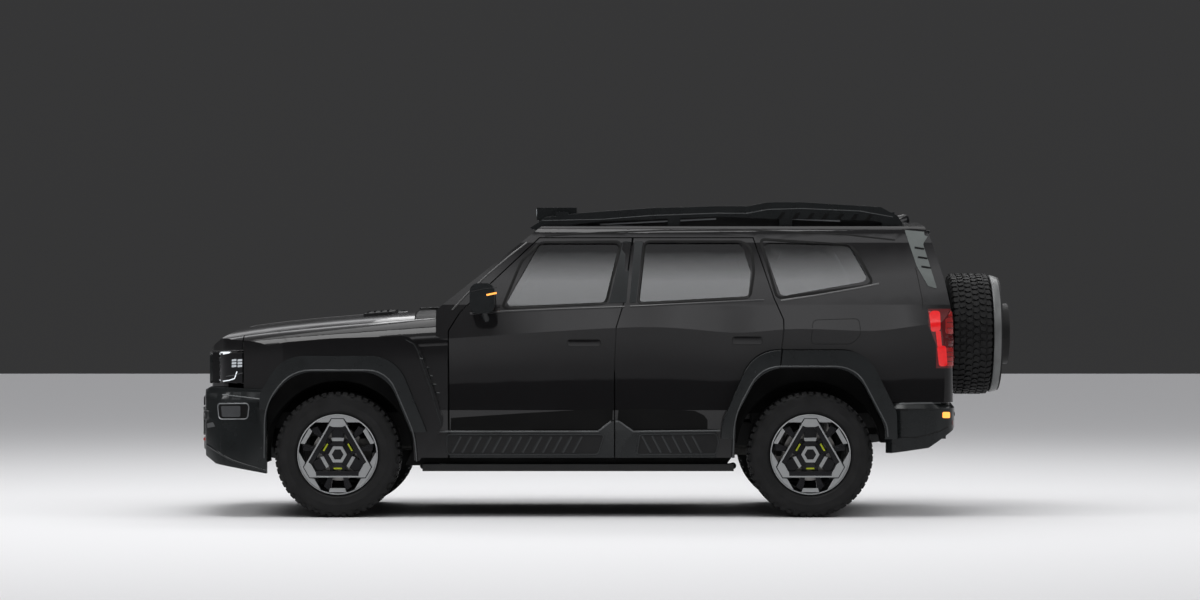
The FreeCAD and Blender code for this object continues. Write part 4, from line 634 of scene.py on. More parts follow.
TYRE_RADIUS = 0.3875
TREAD_DEPTH = 0.0095
TREAD_PITCHES = 54
TYRE_PROFILE = [
    (0.2483, 0.104), (0.256, 0.1135), (0.266, 0.119), (0.268, 0.1215), (0.272, 0.1222), (0.275, 0.1225),
    (0.290, 0.1285), (0.306, 0.1312), (0.308, 0.1322), (0.312, 0.1322), (0.314, 0.1313), (0.334, 0.1305),
    (0.350, 0.1275), (0.362, 0.1225), (0.371, 0.1155), (0.3765, 0.106), (0.3778, 0.090), (0.378, 0.045),
    (0.378, 0.0),
]
LUG_BASE = TYRE_RADIUS - TREAD_DEPTH - 0.002

# Lugs: outline in shares of the pitch and metres across, radius of the foot and of the top, taper
LUGS = (
    (((0.10, 0.090), (0.02, 0.112), (0.12, 0.1165), (0.74, 0.1165), (0.80, 0.108), (0.74, 0.088)),
     LUG_BASE - 0.004, TYRE_RADIUS - 0.0025, 0.06),
    (((-0.06, 0.052), (0.14, 0.083), (0.62, 0.080), (0.70, 0.070), (0.50, 0.047), (0.10, 0.044)),
     LUG_BASE, TYRE_RADIUS - 0.0003, 0.08),
    (((0.30, 0.004), (0.12, 0.020), (0.34, 0.040), (0.74, 0.043), (0.98, 0.026), (0.82, 0.003)),
     LUG_BASE, TYRE_RADIUS, 0.08),
)

RIM_RADIUS = 0.2478
RIM_HALF = 0.119
FACE_OUT = 0.117
SEGMENT_RADIUS = 0.2395
SEGMENT_CHORD = 0.198
TRIANGLE_OUT = 0.139
TRIANGLE_IN = 0.103
TIP_OUT = 0.217
TIP_IN = 0.164
HUB_DISC = [(0.0, -0.100), (0.034, -0.100), (0.040, -0.092), (0.095, -0.088), (0.100, -0.06), (0.0, -0.06)]
NUT = [(0.0, -0.099), (0.009, -0.099), (0.011, -0.095), (0.011, -0.080), (0.0, -0.080)]


def on_tyre(radius, arc_length, across):
    """A place from its radius, its arc length on the tread and its distance from the middle plane."""
    angle = arc_length / TYRE_RADIUS
    return radius * math.cos(angle), across, radius * math.sin(angle)


def tread_block(outline, low, high, taper):
    """A lug between two radii, a little smaller at its top, open at its foot."""
    middle_s, middle_y = [sum(values) / len(outline) for values in zip(*outline)]
    rings = []
    for radius, share in ((low, 1.0), (high, 1.0 - taper)):
        rings.append([on_tyre(radius, middle_s + (s - middle_s) * share, middle_y + (y - middle_y) * share)
                      for s, y in outline])
    points, faces = loft(rings)
    del faces[-2]
    return points, faces


def tyre_form():
    """A tyre about the origin: carcass, tread lugs and the shoulder lugs that reach down the sidewall."""
    profile = TYRE_PROFILE + [(radius, -across) for radius, across in reversed(TYRE_PROFILE[:-1])]
    forms = [lathe(profile, steps=120, closed=False)]
    pitch = TURN * TYRE_RADIUS / TREAD_PITCHES
    for step in range(TREAD_PITCHES):
        low_s, high_s, drop = (0.14, 0.62, 0.012) if step % 2 else (0.08, 0.70, 0.0)
        for side, shift in ((-1, 0.0), (1, 0.5)):
            start = (step + shift) * pitch
            for outline, *rest in LUGS:
                forms.append(tread_block([(start + s * pitch, side * y) for s, y in outline], *rest))
            sidewall = ((0.352 + drop, 0.1258), (0.352 + drop, 0.1296), (0.3735, 0.1225), (0.3785, 0.1165),
                        (0.3745, 0.1120))
            points = [on_tyre(radius, start + s * pitch, side * across)
                      for radius, across in sidewall for s in (low_s, high_s)]
            forms.append((points, [[0, 1, 3, 2], [2, 3, 5, 4], [4, 5, 7, 6], [6, 7, 9, 8], [0, 2, 4, 6, 8],
                                   [1, 9, 7, 5, 3]]))
    return joined(*forms)


def turned(degrees, *points):
    """Points of the wheel's face turned about the hub."""
    cos, sin = math.cos(math.radians(degrees)), math.sin(math.radians(degrees))
    return [(x * cos - z * sin, x * sin + z * cos) for x, z in points]


def truncated_triangle(inradius, tip):
    """A triangle with its corners cut, one corner up."""
    half = (2 * inradius - tip) * math.tan(math.radians(30))
    return [point for turn in (0, 120, 240) for point in turned(turn, (half, tip), (-half, tip))]


def ring_prism(outer, inner, low, high):
    """A flat frame between two outlines of as many points each."""
    rings = [[(a, low, b), (c, low, d), (c, high, d), (a, high, b)] for (a, b), (c, d) in zip(outer, inner)]
    return loft(rings, closed=True)


def wheel_forms():
    """The rim's forms about the origin, with the outer face towards -Y, by material."""
    barrel = [(RIM_RADIUS, -RIM_HALF), (RIM_RADIUS, -0.112), (0.240, -0.108), (0.234, -0.098),
              (0.230, -0.080), (0.222, -0.03), (0.220, 0.09), (0.228, 0.112), (0.236, RIM_HALF),
              (RIM_RADIUS, RIM_HALF)]
    lip = [(0.2477, -RIM_HALF + 0.0002), (0.2478, -0.1125), (0.2405, -0.1085), (0.2400, -RIM_HALF + 0.0012)]
    dark, bright, lime = [lathe(barrel, steps=120)], [lathe(lip, steps=120)], []
    angle = math.degrees(math.acos(SEGMENT_CHORD / SEGMENT_RADIUS))
    # A third of the face: outlines with their outer and inner depths
    third = [
        (bright, arc(SEGMENT_RADIUS, 90 - angle, 90 + angle, 16), -FACE_OUT, -0.101),
        (dark, [(-0.040, 0.2235), (-0.071, 0.176), (0.071, 0.176), (0.040, 0.2235)], -0.1185, -0.101),
        (bright, [(-0.046, -0.207), (0.046, -0.207), (0.055, -0.2325), (-0.055, -0.2325)], -0.114, -0.096),
        (dark, [(-0.030, 0.045), (0.030, 0.045), (0.047, 0.215), (-0.047, 0.215)], -0.098, -0.062),
        (bright, [(-0.035, 0.082), (0.035, 0.082), (0.040, 0.103), (-0.040, 0.103)], -0.1005, -0.090),
        (lime, [(-0.027, -0.092), (-0.024, -0.082), (0.024, -0.082), (0.027, -0.092)], -0.0975, -0.080),
        (bright, [(-0.034, TIP_OUT), (-0.055, 0.181), (-0.030, TIP_IN + 0.006), (0.030, TIP_IN + 0.006),
                  (0.055, 0.181), (0.034, TIP_OUT)], -0.1275, -0.112),
    ]
    for lean in (-1, 1):
        strut = [(0.018, -0.050), (0.040, -0.045), (0.072, -0.214), (0.044, -0.222)]
        hook = [(0.060, 0.075), (0.078, 0.066), (0.150, 0.160), (0.128, 0.176)]
        third.append((dark, [(lean * x, z) for x, z in strut], -0.088, -0.055))
        third.append((dark, [(lean * x, z) for x, z in hook], -0.092, -0.060))
    for turn in (0, 120, 240):
        for forms, outline, low, high in third:
            forms.append(prism(turned(turn, *outline), low, high))
    dark.append(ring_prism(truncated_triangle(TRIANGLE_OUT, TIP_OUT), truncated_triangle(TRIANGLE_IN, TIP_IN),
                           -0.1255, -0.094))
    bright.append(ring_prism(truncated_triangle(TRIANGLE_OUT + 0.0015, TIP_OUT + 0.001),
                             truncated_triangle(TRIANGLE_OUT - 0.008, TIP_OUT - 0.006), -0.1262, -0.118))
    bright.append(ring_prism(arc(0.057, 0, 300, 5), arc(0.036, 0, 300, 5), -0.107, -0.080))
    dark.append(lathe(HUB_DISC, steps=48))
    for step in range(6):
        (x, z), = turned(60 * step + 30, (0.0, 0.074))
        dark.append(lathe(NUT, (x, 0, z), 6))
    return joined(*dark), joined(*bright), joined(*lime)


def brake_form():
    """A ventilated brake disc about the origin, outer face towards -Y."""
    near, far = 0.0095, -0.0145
    disc = [(0.165, near), (0.165, near - 0.009), (0.150, near - 0.009), (0.150, near - 0.015),
            (0.165, near - 0.015), (0.165, far), (0.090, far), (0.084, far - 0.012), (0.070, far - 0.012),
            (0.070, near)]
    return lathe(disc, steps=72)


def make_wheels():
    """Tyre, rim and brake disc on each of the four wheels, and the spare tyre on the tailgate."""
    tyre = tyre_form()
    dark, bright, lime = wheel_forms()
    brake = brake_form()
    for place in PLACES:
        body = f"wheel_{place}"
        side = Matrix.Identity(4) if "left" in place else Matrix.Scale(-1, 4, (0, 1, 0))
        matrix = Matrix.Translation(node_middle(f"tyre_{place}")) @ side
        carcass = piece(f"tread_{place}", moved(tyre, matrix), RUBBER, body, angle=40, slot="rubber")
        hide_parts(f"tyre_{place}")
        rim = piece(f"wheel_spokes_{place}", moved(dark, matrix), ALLOY, body, 0.0022, slot="rim")
        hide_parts(f"rim_{place}")
        piece(f"wheel_face_{place}", moved(bright, matrix), MACHINED, body, 0.0015, slot="rim")
        piece(f"wheel_accents_{place}", moved(lime, matrix), LIME, body, 0.001)
        piece(f"brake_disc_{place}", moved(brake, matrix), STEEL, body, 0.0008)
    matrix = Matrix.Translation(node_middle("spare_tyre")) @ Matrix.Rotation(math.radians(90), 4, "Z")
    carcass = piece("tread_spare", moved(tyre, matrix), RUBBER, "tailgate", angle=40, slot="rubber")
    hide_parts("spare_tyre")


# The body's sides

NEAR_SIDE = ("door_front_left", "door_rear_left", "body_side_left", "front_fender_left")
FRONT_DOOR = "door_front_SIDE"
REAR_DOOR = "door_rear_SIDE"
RIB_PITCH = 0.062


def make_windows():
    """Rubber round the side glass, the trims on the pillars, a strip below the glass, and painted highlights
    along the quarter ledge and the windscreen pillar.
    """
    side = Surface(skin(*NEAR_SIDE))
    panes = Surface(skin(*NEAR_SIDE, "door_glass_front_left", "door_glass_rear_left", "fixed_glass"))
    for name, body, places in (
            ("front", FRONT_DOOR, ((502, 308), (521.5, 261), (540, 242.5), (621, 241.5), (606, 303.5))),
            ("rear", REAR_DOOR, ((645, 241.5), (742, 241.5), (751, 248), (754, 271), (750, 297.5),
                                 (638, 303.5))),
            ("quarter", "root", ((760, 239), (848, 245), (856, 251), (872, 281), (868, 285.5), (777, 298)))):
        loop = rounded(panes.struck(*places), 0.035, 5)
        panes.band(f"window_seal_{name}", loop, 0.017, 0.0022, SEAL, body, sink=0.006, closed=True)
    for name, body, places in (
            ("front", FRONT_DOOR, ((623, 241), (631.6, 241), (626.3, 302.5), (608.6, 303), (613, 286))),
            ("rear", REAR_DOOR, ((634.6, 241), (643, 241), (640.5, 262), (636, 302.5), (629.4, 303)))):
        outline = rounded(side.struck(*places), 0.008, 2)
        side.plate(f"pillar_trim_{name}", outline, 0.0028, PILLAR, body, bevel=0.001, grid=0.05)
    for name, body, places in (
            ("front", FRONT_DOOR, ((470, 313.8), (504, 311.5), (560, 309), (624.5, 306.6))),
            ("rear", REAR_DOOR, ((630, 306.3), (690, 303.5), (764, 300)))):
        side.band(f"belt_strip_{name}", side.struck(*places), 0.011, 0.004, GLOSS, body)
    # Painted highlights in pale grey along the quarter window's ledge and the windscreen pillar.
    ledge = side.struck((879, 283.5), (860, 287.5), (815, 295.5), (781, 300.5))
    side.band("quarter_ledge", ledge, 0.010, 0.004, LEDGE_HIGHLIGHT)
    pillar = side.struck((452, 310), (468, 293), (490, 272.5), (512, 254), (527, 242.5))
    screen = Surface(skin("body_side_left", "door_front_left", "fixed_glass"))
    screen.band("screen_pillar_line", pillar, 0.010, 0.003, LEDGE_HIGHLIGHT, other=-0.72)
    ditch = side.struck((545, 236), (600, 232.5), (660, 230.5), (750, 230), (840, 234), (895, 240))
    roof = Surface(skin("body_side_left", "roof"))
    roof.band("roof_ditch", ditch, 0.009, 0.0012, SEAL, other=-0.68)


def make_panels():
    """Handles, the fuel flap, the lines of the panels and the vents behind the front wheels."""
    side = Surface(skin(*NEAR_SIDE))
    for name, body, low, high in (("front", FRONT_DOOR, (567.5, 346.3), (600.5, 339.8)),
                                  ("rear", REAR_DOOR, (732.5, 344.3), (762, 336.8))):
        outline = rounded(side.struck(*rectangle(low, high)), 0.016)
        side.plate(f"handle_{name}", outline, 0.006, PAINT, body, grid=0.02, crown=0.005)
        side.band(f"handle_gap_{name}", outline, 0.0045, 0.0008, SEAL, body, closed=True)
    flap = rounded(side.struck((811, 344), (813, 320), (859, 318.5), (861, 335), (852, 344)), 0.03)
    side.band("fuel_flap_line", flap, 0.0035, 0.0007, SEAL, closed=True)
    fender = Surface(skin("front_fender_left", "flares"))
    vent = fender.struck((418.5, 349), (421.5, 352.5), (439.5, 402), (437.5, 405), (432, 401), (417, 355))
    fender.plate("fender_vent", rounded(vent, 0.008, 2), 0.0012, SEAL)
    for step in range(5):
        share = (step + 0.7) / 5.4
        px, py = 417.5 + 18.5 * share, 353 + 46 * share
        path = fender.struck((px, py), (px + 6.0, py + 0.5))
        fender.band(f"vent_bar_{step}", path, 0.012, 0.0045, SATIN, sink=0.003)
    crease = fender.struck((405.5, 339.5), (414, 344), (418, 351), (430, 386), (441, 424))
    fender.band("fender_crease", crease, 0.006, 0.002, SATIN, sink=0.003)
    nose = Surface(skin("hood", "front_fender_left"))
    path = nose.struck((279, 330.5), (282, 333), (284, 337), (286.5, 341))
    fender.band("fender_line", path, 0.0035, 0.0008, SEAL, sink=0.003, other=SIDE_DEPTH)


def make_undercut_shade():
    """Painted shade: near-black bands along the foot of the doors, where the undercut turns down towards the
    ground.
    """
    side = Surface(skin("door_front_left", "door_rear_left", "trim_front_left", "trim_rear_left"))
    for name, body, places in (
            ("front", FRONT_DOOR, ((450.6, 431), (451.0, 418), (530, 412.8), (613.0, 408.2), (612.2, 421),
                                   (598, 430.6))),
            ("rear", REAR_DOOR, ((617.5, 421), (618.6, 408.6), (655, 408.8), (695, 411), (704, 415.4),
                                 (707.5, 420), (707.5, 430), (634, 430.6)))):
        side.plate(f"door_band_{name}", side.struck(*places), 0.0015, UNDERCUT_SHADE, body, grid=0.08)


def make_gap_backs():
    """Dark rubber behind the gaps between the doors and under them, and a dark sheet under the sills that
    fills the space there and paints its shade.
    """
    for name, low, high in (("front", (-0.9860, 0.575), (-0.9560, 0.90)),
                            ("middle", (0.0345, 0.375), (0.0645, 0.90)),
                            ("rear", (1.0515, 0.375), (1.0815, 0.46))):
        pair(f"gap_back_{name}", prism(rectangle(low, high), -0.862, -0.855), SEAL)
    # A dark sheet in the space under the sill, which paints the shade of the underbody there.
    sill = [(-1.24, 0.318), (0.74, 0.318), (0.80, 0.40), (-1.20, 0.40)]
    pair("gap_back_sill", prism(sill, -0.862, -0.845), LINER)


def make_cladding():
    """Recessed panels with ribs on the sills' cladding, drawn with painted shade (a darker plate) and painted
    highlights (a paler frame and ribs), a painted highlight along the cladding's top edge, and the round rock
    rails.
    """
    trims = {name: Surface(skin(f"trim_{name}_left"), body=f"door_{name}_SIDE") for name in ("front", "rear")}
    for name, lean, places in (
            ("front", 0.055, ((447, 434.5), (604, 434.5), (598, 454.5), (447, 454.5))),
            ("rear", -0.055, ((640, 434.5), (716, 433.5), (718.5, 441), (716, 454), (637, 454.5)))):
        trim = trims[name]
        outline = rounded(trim.struck(*places), 0.02)
        # Painted shade and highlights: a darker plate for the recess, and a paler frame and ribs.
        trim.plate(f"sill_panel_{name}", outline, 0.0012, PLASTIC, grid=0.06)
        trim.band(f"sill_frame_{name}", outline, 0.009, 0.006, FRAME, closed=True)
        (low, bottom), (high, top) = [[pick(values) for values in zip(*outline)] for pick in (min, max)]
        for step in range(int((high - low - 0.10) / RIB_PITCH)):
            start = low + 0.03 + step * RIB_PITCH - min(lean, 0.0)
            path = [(start, bottom + 0.012), (start + lean, top - 0.012)]
            trim.band(f"sill_rib_{name}_{step}", path, 0.016, 0.004, FRAME, sink=0.003, step=0.05)
    # Painted highlight: a pale band along the lit top chamfer of the cladding.
    for name, places in (("front", ((428, 431.6), (598, 431.6), (611, 421.5))),
                         ("rear", ((615.5, 421.5), (619, 421.5), (633.5, 431.6), (720, 430.6)))):
        trim = trims[name]
        trim.band(f"sill_edge_{name}", trim.struck(*places), 0.010, 0.004, EDGE, sink=0.003)
    start, end = [seen(px, 467)[0] for px in (424, 732)]
    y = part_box("ladder_frame")[0].y + 0.021
    bend = ((-0.01, 0.05, 0.315), (0.01, 0.01, 0.312), (0.05, 0.0, 0.310))
    path = [(start + x, y + rise, z) for x, rise, z in bend]
    path += [(end - x, y + rise, z) for x, rise, z in bend[::-1]]
    pair("rock_rail", tube(path, 0.0205, 16), SATIN)


def make_flare_highlights():
    """A painted highlight along the inner edge of the wheel flares, from corners in shares of the tyre's
    radius.
    """
    flares = Surface(skin("flares"))
    for name, corners in (
            ("front", ((-1.12, -0.05), (-1.12, 0.79), (-0.70, 1.315), (0.78, 1.315), (1.20, 0.32),
                       (1.235, -0.10))),
            ("rear", ((-1.205, -0.05), (-1.19, 0.60), (-0.78, 1.375), (0.70, 1.375), (1.18, 0.45),
                      (1.19, 0.28)))):
        centre = node_middle(f"tyre_{name}_left").xz
        path = []
        for corner in corners:
            away = Vector(corner) * TYRE_RADIUS
            path.append(centre + away + away.normalized() * 0.012)
        path = rounded(path, 0.13, 6, closed=False)
        flares.band(f"flare_edge_{name}", path, 0.007, 0.0025, EDGE, sink=0.003, other=-0.985)


def make_mirrors():
    """The door mirrors' shells and lit strips."""
    trees = {}
    for side in ("left", "right"):
        low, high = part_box(f"trim_front_{side}")
        limit = max(-low.y, high.y) - 0.0045

        def drawn_in(point):
            return Vector((point.x, max(-limit, min(limit, point.y)), point.z))

        trees[side] = skin(eased(f"trim_front_{side}", drawn_in, SATIN, f"door_front_{side}"))
    shell = Surface(trees["left"], body=FRONT_DOOR)
    for name, width, lift, material, places in (
            ("signal", 0.011, 0.003, AMBER_LAMP, ((486.5, 295), (497.5, 293.2))),
            ("line", 0.004, 0.0012, GLOSS, ((471, 291.5), (484, 288.5), (497.5, 288)))):
        shell.band(f"mirror_{name}", shell.struck(*places), width, lift, material, step=0.01)


# The nose, the lamps and the hood

NOSE_DEPTH = -2.5


def swept_lamp(point):
    """A point of the headlamps, kept behind a face that sweeps back towards the fenders."""
    return Vector((max(point.x, 0.114 * abs(point.y) - 2.482), point.y, point.z))


def make_lamps():
    """Lit bars and clusters in the headlamps, and a painted highlight along a ledge."""
    cuts = [side * place for side in (-1, 1) for place in (0.45, 0.55, 0.65, 0.75, 0.85)]
    tree = skin(eased("headlamps", swept_lamp, GLOSS, cuts=cuts))
    side, face = Surface(tree), Surface(tree, "front")
    # The ledge band is a painted highlight in pale grey.
    for name, width, material, places in (
            ("day_bar_side", 0.009, WHITE_LAMP, ((223, 353.8), (231, 352.4), (241.5, 350.8))),
            ("day_bar_low", 0.007, WHITE_LAMP, ((223, 381.2), (229, 380.4), (234.5, 378.6), (237, 371.5))),
            ("lamp_ledge", 0.006, EDGE, ((226, 376.5), (233, 375.5), (243, 373)))):
        side.band(name, side.struck(*places), width, 0.003, material, step=0.012)
    for name, width, z in (("day_bar_front", 0.011, 1.006), ("day_bar_foot", 0.007, 0.842)):
        path = [(-0.575, z), (-0.66, z), (-0.745, z)]
        face.band(name, path, width, 0.003, WHITE_LAMP, step=0.012, other=NOSE_DEPTH)
    for row in range(3):
        z = 0.972 - row * 0.043
        for column in range(2):
            left, top = 231.8 + column * 5.8, 359.4 + row * 2.9
            cell = side.struck((left, top + 2.1), (left + 4.6, top + 1.7), (left + 4.6, top - 0.4),
                               (left, top))
            side.plate(f"lamp_side_{row}_{column}", rounded(cell, 0.003, 2), 0.003, LENS, grid=0.02)
            y = -0.615 - column * 0.095
            lens = rounded(rectangle((y - 0.034, z - 0.014), (y + 0.034, z + 0.014)), 0.010, 3)
            face.plate(f"lamp_front_{row}_{column}", lens, 0.004, SMOKE, grid=0.02, crown=0.004)


def make_grille():
    """Slats and posts of the grille between the lamps, and its frame."""
    tree = skin("grille", "hood")
    middle, face = Surface(tree, "front", both=False), Surface(tree, "front")
    for row in range(5):
        z = 0.850 + row * 0.036
        path = [(-0.535, z), (0.0, z), (0.535, z)]
        middle.band(f"grille_slat_{row}", path, 0.017, 0.012, GRILLE, bevel=0.002, step=0.05)
    for column in range(6):
        y = 0.095 + column * 0.085
        face.band(f"grille_post_{column}", [(-y, 0.842), (-y, 1.0)], 0.012, 0.016, GRILLE, step=0.03)
    frame_path = rounded(rectangle((-0.55, 0.826), (0.55, 1.008)), 0.02)
    middle.band("grille_frame", frame_path, 0.014, 0.018, SATIN, step=0.05, closed=True)


def bowed_bumper(point):
    """A point of the front bumper, kept behind a front that bows back towards the wheels."""
    across = abs(point.y)
    front = CAD_LOW.x + 0.013 + 0.135 * across ** 2 / (across + 0.15)
    return Vector((max(point.x, front), point.y, point.z))


def make_front_bumper():
    """Recesses, lamps, a chamfer line at the foot, painted highlights along the top chamfer and on a corner
    facet, the lower mouth and the skid plate of the front bumper.
    """
    cuts = [0.15 * step for step in range(-6, 7)]
    tree = skin(eased("front_bumper", bowed_bumper, SATIN, cuts=cuts))
    side, face, middle = Surface(tree), Surface(tree, "front"), Surface(tree, "front", both=False)
    recess = rounded(side.struck((219, 419), (217.5, 403.5), (247, 403.5), (249, 406), (247.5, 419)), 0.022)
    side.plate("bumper_side_panel", recess, 0.0012, LINER)
    side.band("bumper_side_frame", recess, 0.007, 0.004, SILVER, closed=True, step=0.012)
    inner = rounded(side.struck((222, 417), (221, 405.8), (240.5, 405.8), (240.5, 417)), 0.012, 3)
    side.plate("bumper_side_lens", inner, 0.004, SMOKE, grid=0.02)
    # Painted highlights in pale grey on a corner facet and along the top chamfer.
    facet = side.struck((207.5, 428), (207, 423.5), (213, 422), (215, 426.5))
    side.plate("bumper_facet", facet, 0.003, EDGE)
    path = side.struck((222, 394.5), (245, 397.2), (269.5, 400))
    side.band("bumper_top_line", path, 0.007, 0.002, EDGE, step=0.012)
    path = side.struck((206.5, 444.5), (220, 453.5), (232, 460.5), (247, 465.5), (266, 471))
    side.band("bumper_low_line", path, 0.012, 0.005, SATIN, step=0.012)
    mouth = [(-0.46, 0.50), (0.46, 0.50), (0.52, 0.565), (0.50, 0.655), (-0.50, 0.655), (-0.52, 0.565)]
    mouth = rounded(mouth, 0.02, 3)
    middle.plate("bumper_mouth", mouth, 0.002, LINER, grid=0.06)
    middle.band("bumper_mouth_frame", mouth, 0.016, 0.012, SATIN, closed=True, step=0.04)
    for row in range(4):
        z = 0.524 + row * 0.034
        path = [(-0.49, z), (0.0, z), (0.49, z)]
        middle.band(f"mouth_slat_{row}", path, 0.011, 0.009, GRILLE, sink=0.003, step=0.06)
    fog = rounded(rectangle((-0.80, 0.60), (-0.66, 0.655)), 0.018)
    face.band("fog_frame", fog, 0.010, 0.010, FRAME, closed=True, step=0.015)
    face.plate("fog_panel", fog, 0.002, LINER)
    lens = rounded(rectangle((-0.765, 0.612), (-0.69, 0.644)), 0.014)
    face.plate("fog_lens", lens, 0.008, SMOKE, grid=0.02, crown=0.004)
    skid = [(-0.36, 0.335), (0.36, 0.335), (0.40, 0.40), (0.38, 0.475), (-0.38, 0.475), (-0.40, 0.40)]
    middle.plate("skid_plate", rounded(skid, 0.02, 3), 0.008, EDGE, bevel=0.002, grid=0.05)
    for rib in range(4):
        y = -0.24 + rib * 0.16
        middle.band(f"skid_rib_{rib}", [(y, 0.365), (y, 0.445)], 0.022, 0.014, SATIN, sink=0.003, step=0.03)
    blank = rounded(rectangle((-0.23, 0.675), (0.23, 0.775)), 0.008, 3)
    middle.plate("plate_front", blank, 0.010, PLASTIC, bevel=0.0015, grid=0.08)
    for name, y in (("left", -0.43), ("right", 0.43)):
        depth = face.depth(y, 0.45, NOSE_DEPTH)
        reach = max(depth - 0.002, CAD_LOW.x + 0.011)
        half = ((depth + 0.03, 0.03, 0.475), (reach + 0.014, 0.03, 0.472), (reach, 0.012, 0.466))
        path = [(x, y - across, z) for x, across, z in half]
        path += [(x, y + across, z) for x, across, z in half[::-1]]
        piece(f"tow_hook_{name}", tube(path, 0.010), HOOK_RED)


def make_hood():
    """Vents and ribs on the hood, and the wipers."""
    top = Surface(skin("hood", "cowl", "fixed_glass"), "top", "hood")
    vent = rounded([(-1.52, -0.60), (-1.34, -0.60), (-1.31, -0.36), (-1.49, -0.36)], 0.025)
    top.plate("hood_vent", vent, 0.016, PLASTIC, grid=0.04, crown=0.004)
    for row in range(4):
        x = -1.490 + row * 0.042
        path = [(x, -0.575), (x, -0.385)]
        top.band(f"hood_vent_fin_{row}", path, 0.014, 0.026, GLOSS, sink=0.0, step=0.04)
    rib = [(-2.30, -0.30), (-1.9, -0.34), (-1.5, -0.38), (-1.25, -0.40)]
    top.band("hood_rib_long", rib, 0.02, 0.0045, PAINT, step=0.05)
    for name, start, end in (("left", (-1.165, -0.50), (-0.955, -0.06)),
                             ("right", (-1.165, 0.28), (-0.965, 0.66))):
        tip = Vector(end) + Vector((-0.10, -0.30))
        for part, count, low, high, radius, sides, material, rise, fall in (
                ("arm", 6, Vector(start), Vector(end), 0.006, 10, PLASTIC, 0.018, 0.010),
                ("blade", 12, tip, tip + Vector((0.13, 0.50)), 0.0055, 8, SEAL, 0.010, 0.0)):
            path = []
            for step in range(count + 1):
                x, y = low.lerp(high, step / count)
                path.append((x, y, top.depth(x, y, 1.2) + rise - fall * step / count))
            piece(f"wiper_{part}_{name}", tube(path, radius, sides), material)


# The rear end

def make_tail_lamps():
    """Lit lobes of the tail lamps on the corners and round to the rear."""
    tree = skin("tail_lamps")
    side, rear = Surface(tree), Surface(tree, "rear")
    for name, places in (("upper", ((930.5, 332), (929, 313), (933, 310.5), (940, 311), (940.5, 331))),
                         ("lower", ((939, 366.5), (937, 347), (941, 345.5), (946, 346), (947.5, 366)))):
        lobe = rounded(side.struck(*places), 0.02)
        side.plate(f"tail_lobe_{name}", lobe, 0.004, RED_LAMP, grid=0.02, crown=0.003)
    link = side.struck((935.6, 331), (940.5, 331), (942, 346.5), (937.4, 346.5))
    side.plate("tail_link", link, 0.0045, RED_LAMP, grid=0.02)
    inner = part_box("tail_lamps")[0].y + 0.03
    for name, bottom, top, material in (("upper", 1.13, 1.27, CLEAR_RED), ("middle", 1.055, 1.12, DARK_RED),
                                        ("lower", 0.93, 1.045, CLEAR_RED)):
        outline = rounded(rectangle((inner - 0.005, bottom), (-0.792, top)), 0.016)
        rear.plate(f"tail_rear_{name}", outline, 0.004, material, grid=0.02, crown=0.003)
        for step in range(3):
            z = bottom + (top - bottom) * (step + 1) / 4
            rear.band(f"tail_rib_{name}_{step}", [(inner, z), (-0.796, z)], 0.005, 0.009, DARK_RED, sink=0.0)


def make_gate():
    """The tailgate's side fins, seams, handle, hinges, wiper and window frame."""
    side = Surface(skin("body_side_left", "tailgate", "rear_spoiler", "roof", "tailgate_glass"))
    fin = side.struck((904.5, 230), (929, 232.6), (923, 244), (937, 288.5), (928, 286), (916.7, 266.2))
    side.plate("gate_fin", rounded(fin, 0.010, 3), 0.004, FIN)
    for row in range(3):
        px, py = 914.5 + row * 3.4, 247.5 + row * 9.5
        path = side.struck((px, py), (px + 9.5, py + 1.5))
        side.band(f"fin_slit_{row}", path, 0.012, 0.0065, LINER, sink=0.0)
    seam = side.struck((915.5, 267.5), (919, 283), (922, 298), (923, 309))
    side.band("gate_seam", seam, 0.004, 0.001, SEAL, sink=0.003)
    glass = Surface(skin("tailgate", "tailgate_glass"), "rear", "tailgate", both=False)
    window = rounded([(-0.56, 1.355), (0.56, 1.355), (0.50, 1.625), (-0.50, 1.625)], 0.05, 5)
    glass.band("gate_seal", window, 0.018, 0.003, SEAL, sink=0.006, closed=True, step=0.03)
    gate = Surface(skin("tailgate"), "rear", "tailgate", both=False)
    gate.plate("gate_handle_cup", rounded(rectangle((-0.62, 0.98), (-0.54, 1.12)), 0.02), 0.002, LINER)
    grip = rounded(rectangle((-0.605, 0.99), (-0.575, 1.11)), 0.012)
    gate.plate("gate_handle", grip, 0.024, SATIN, bevel=0.003, sink=0.002)
    for row, z in enumerate((0.84, 1.30)):
        for name, path in ((f"gate_line_{row}", [(-0.68, z), (-0.40, z - 0.008)]),
                           (f"gate_line_right_{row}", [(0.40, z - 0.008), (0.68, z)])):
            gate.band(name, path, 0.004, 0.0008, SEAL, sink=0.003)
    barrel = [(0.0, -0.035), (0.016, -0.035), (0.018, -0.030), (0.018, 0.030), (0.016, 0.035), (0.0, 0.035)]
    for row, z in enumerate((0.80, 1.18)):
        depth = gate.depth(0.70, z, 2.1)
        form = lathe(barrel, (depth + 0.010, 0.70, z), 24, "z", False)
        leaf = box((depth - 0.004, 0.60, z - 0.028), (depth + 0.010, 0.70, z + 0.028))
        piece(f"gate_hinge_{row}", joined(form, leaf), SATIN, "tailgate", bevel=0.002)
    arm = []
    for step in range(8):
        y, z = -0.10 - 0.30 * step / 7, 1.335 + 0.10 * step / 7
        arm.append((glass.depth(y, z, 2.0) + 0.012, y, z))
    piece("rear_wiper", tube(arm, 0.0065, 10), PLASTIC, "tailgate")


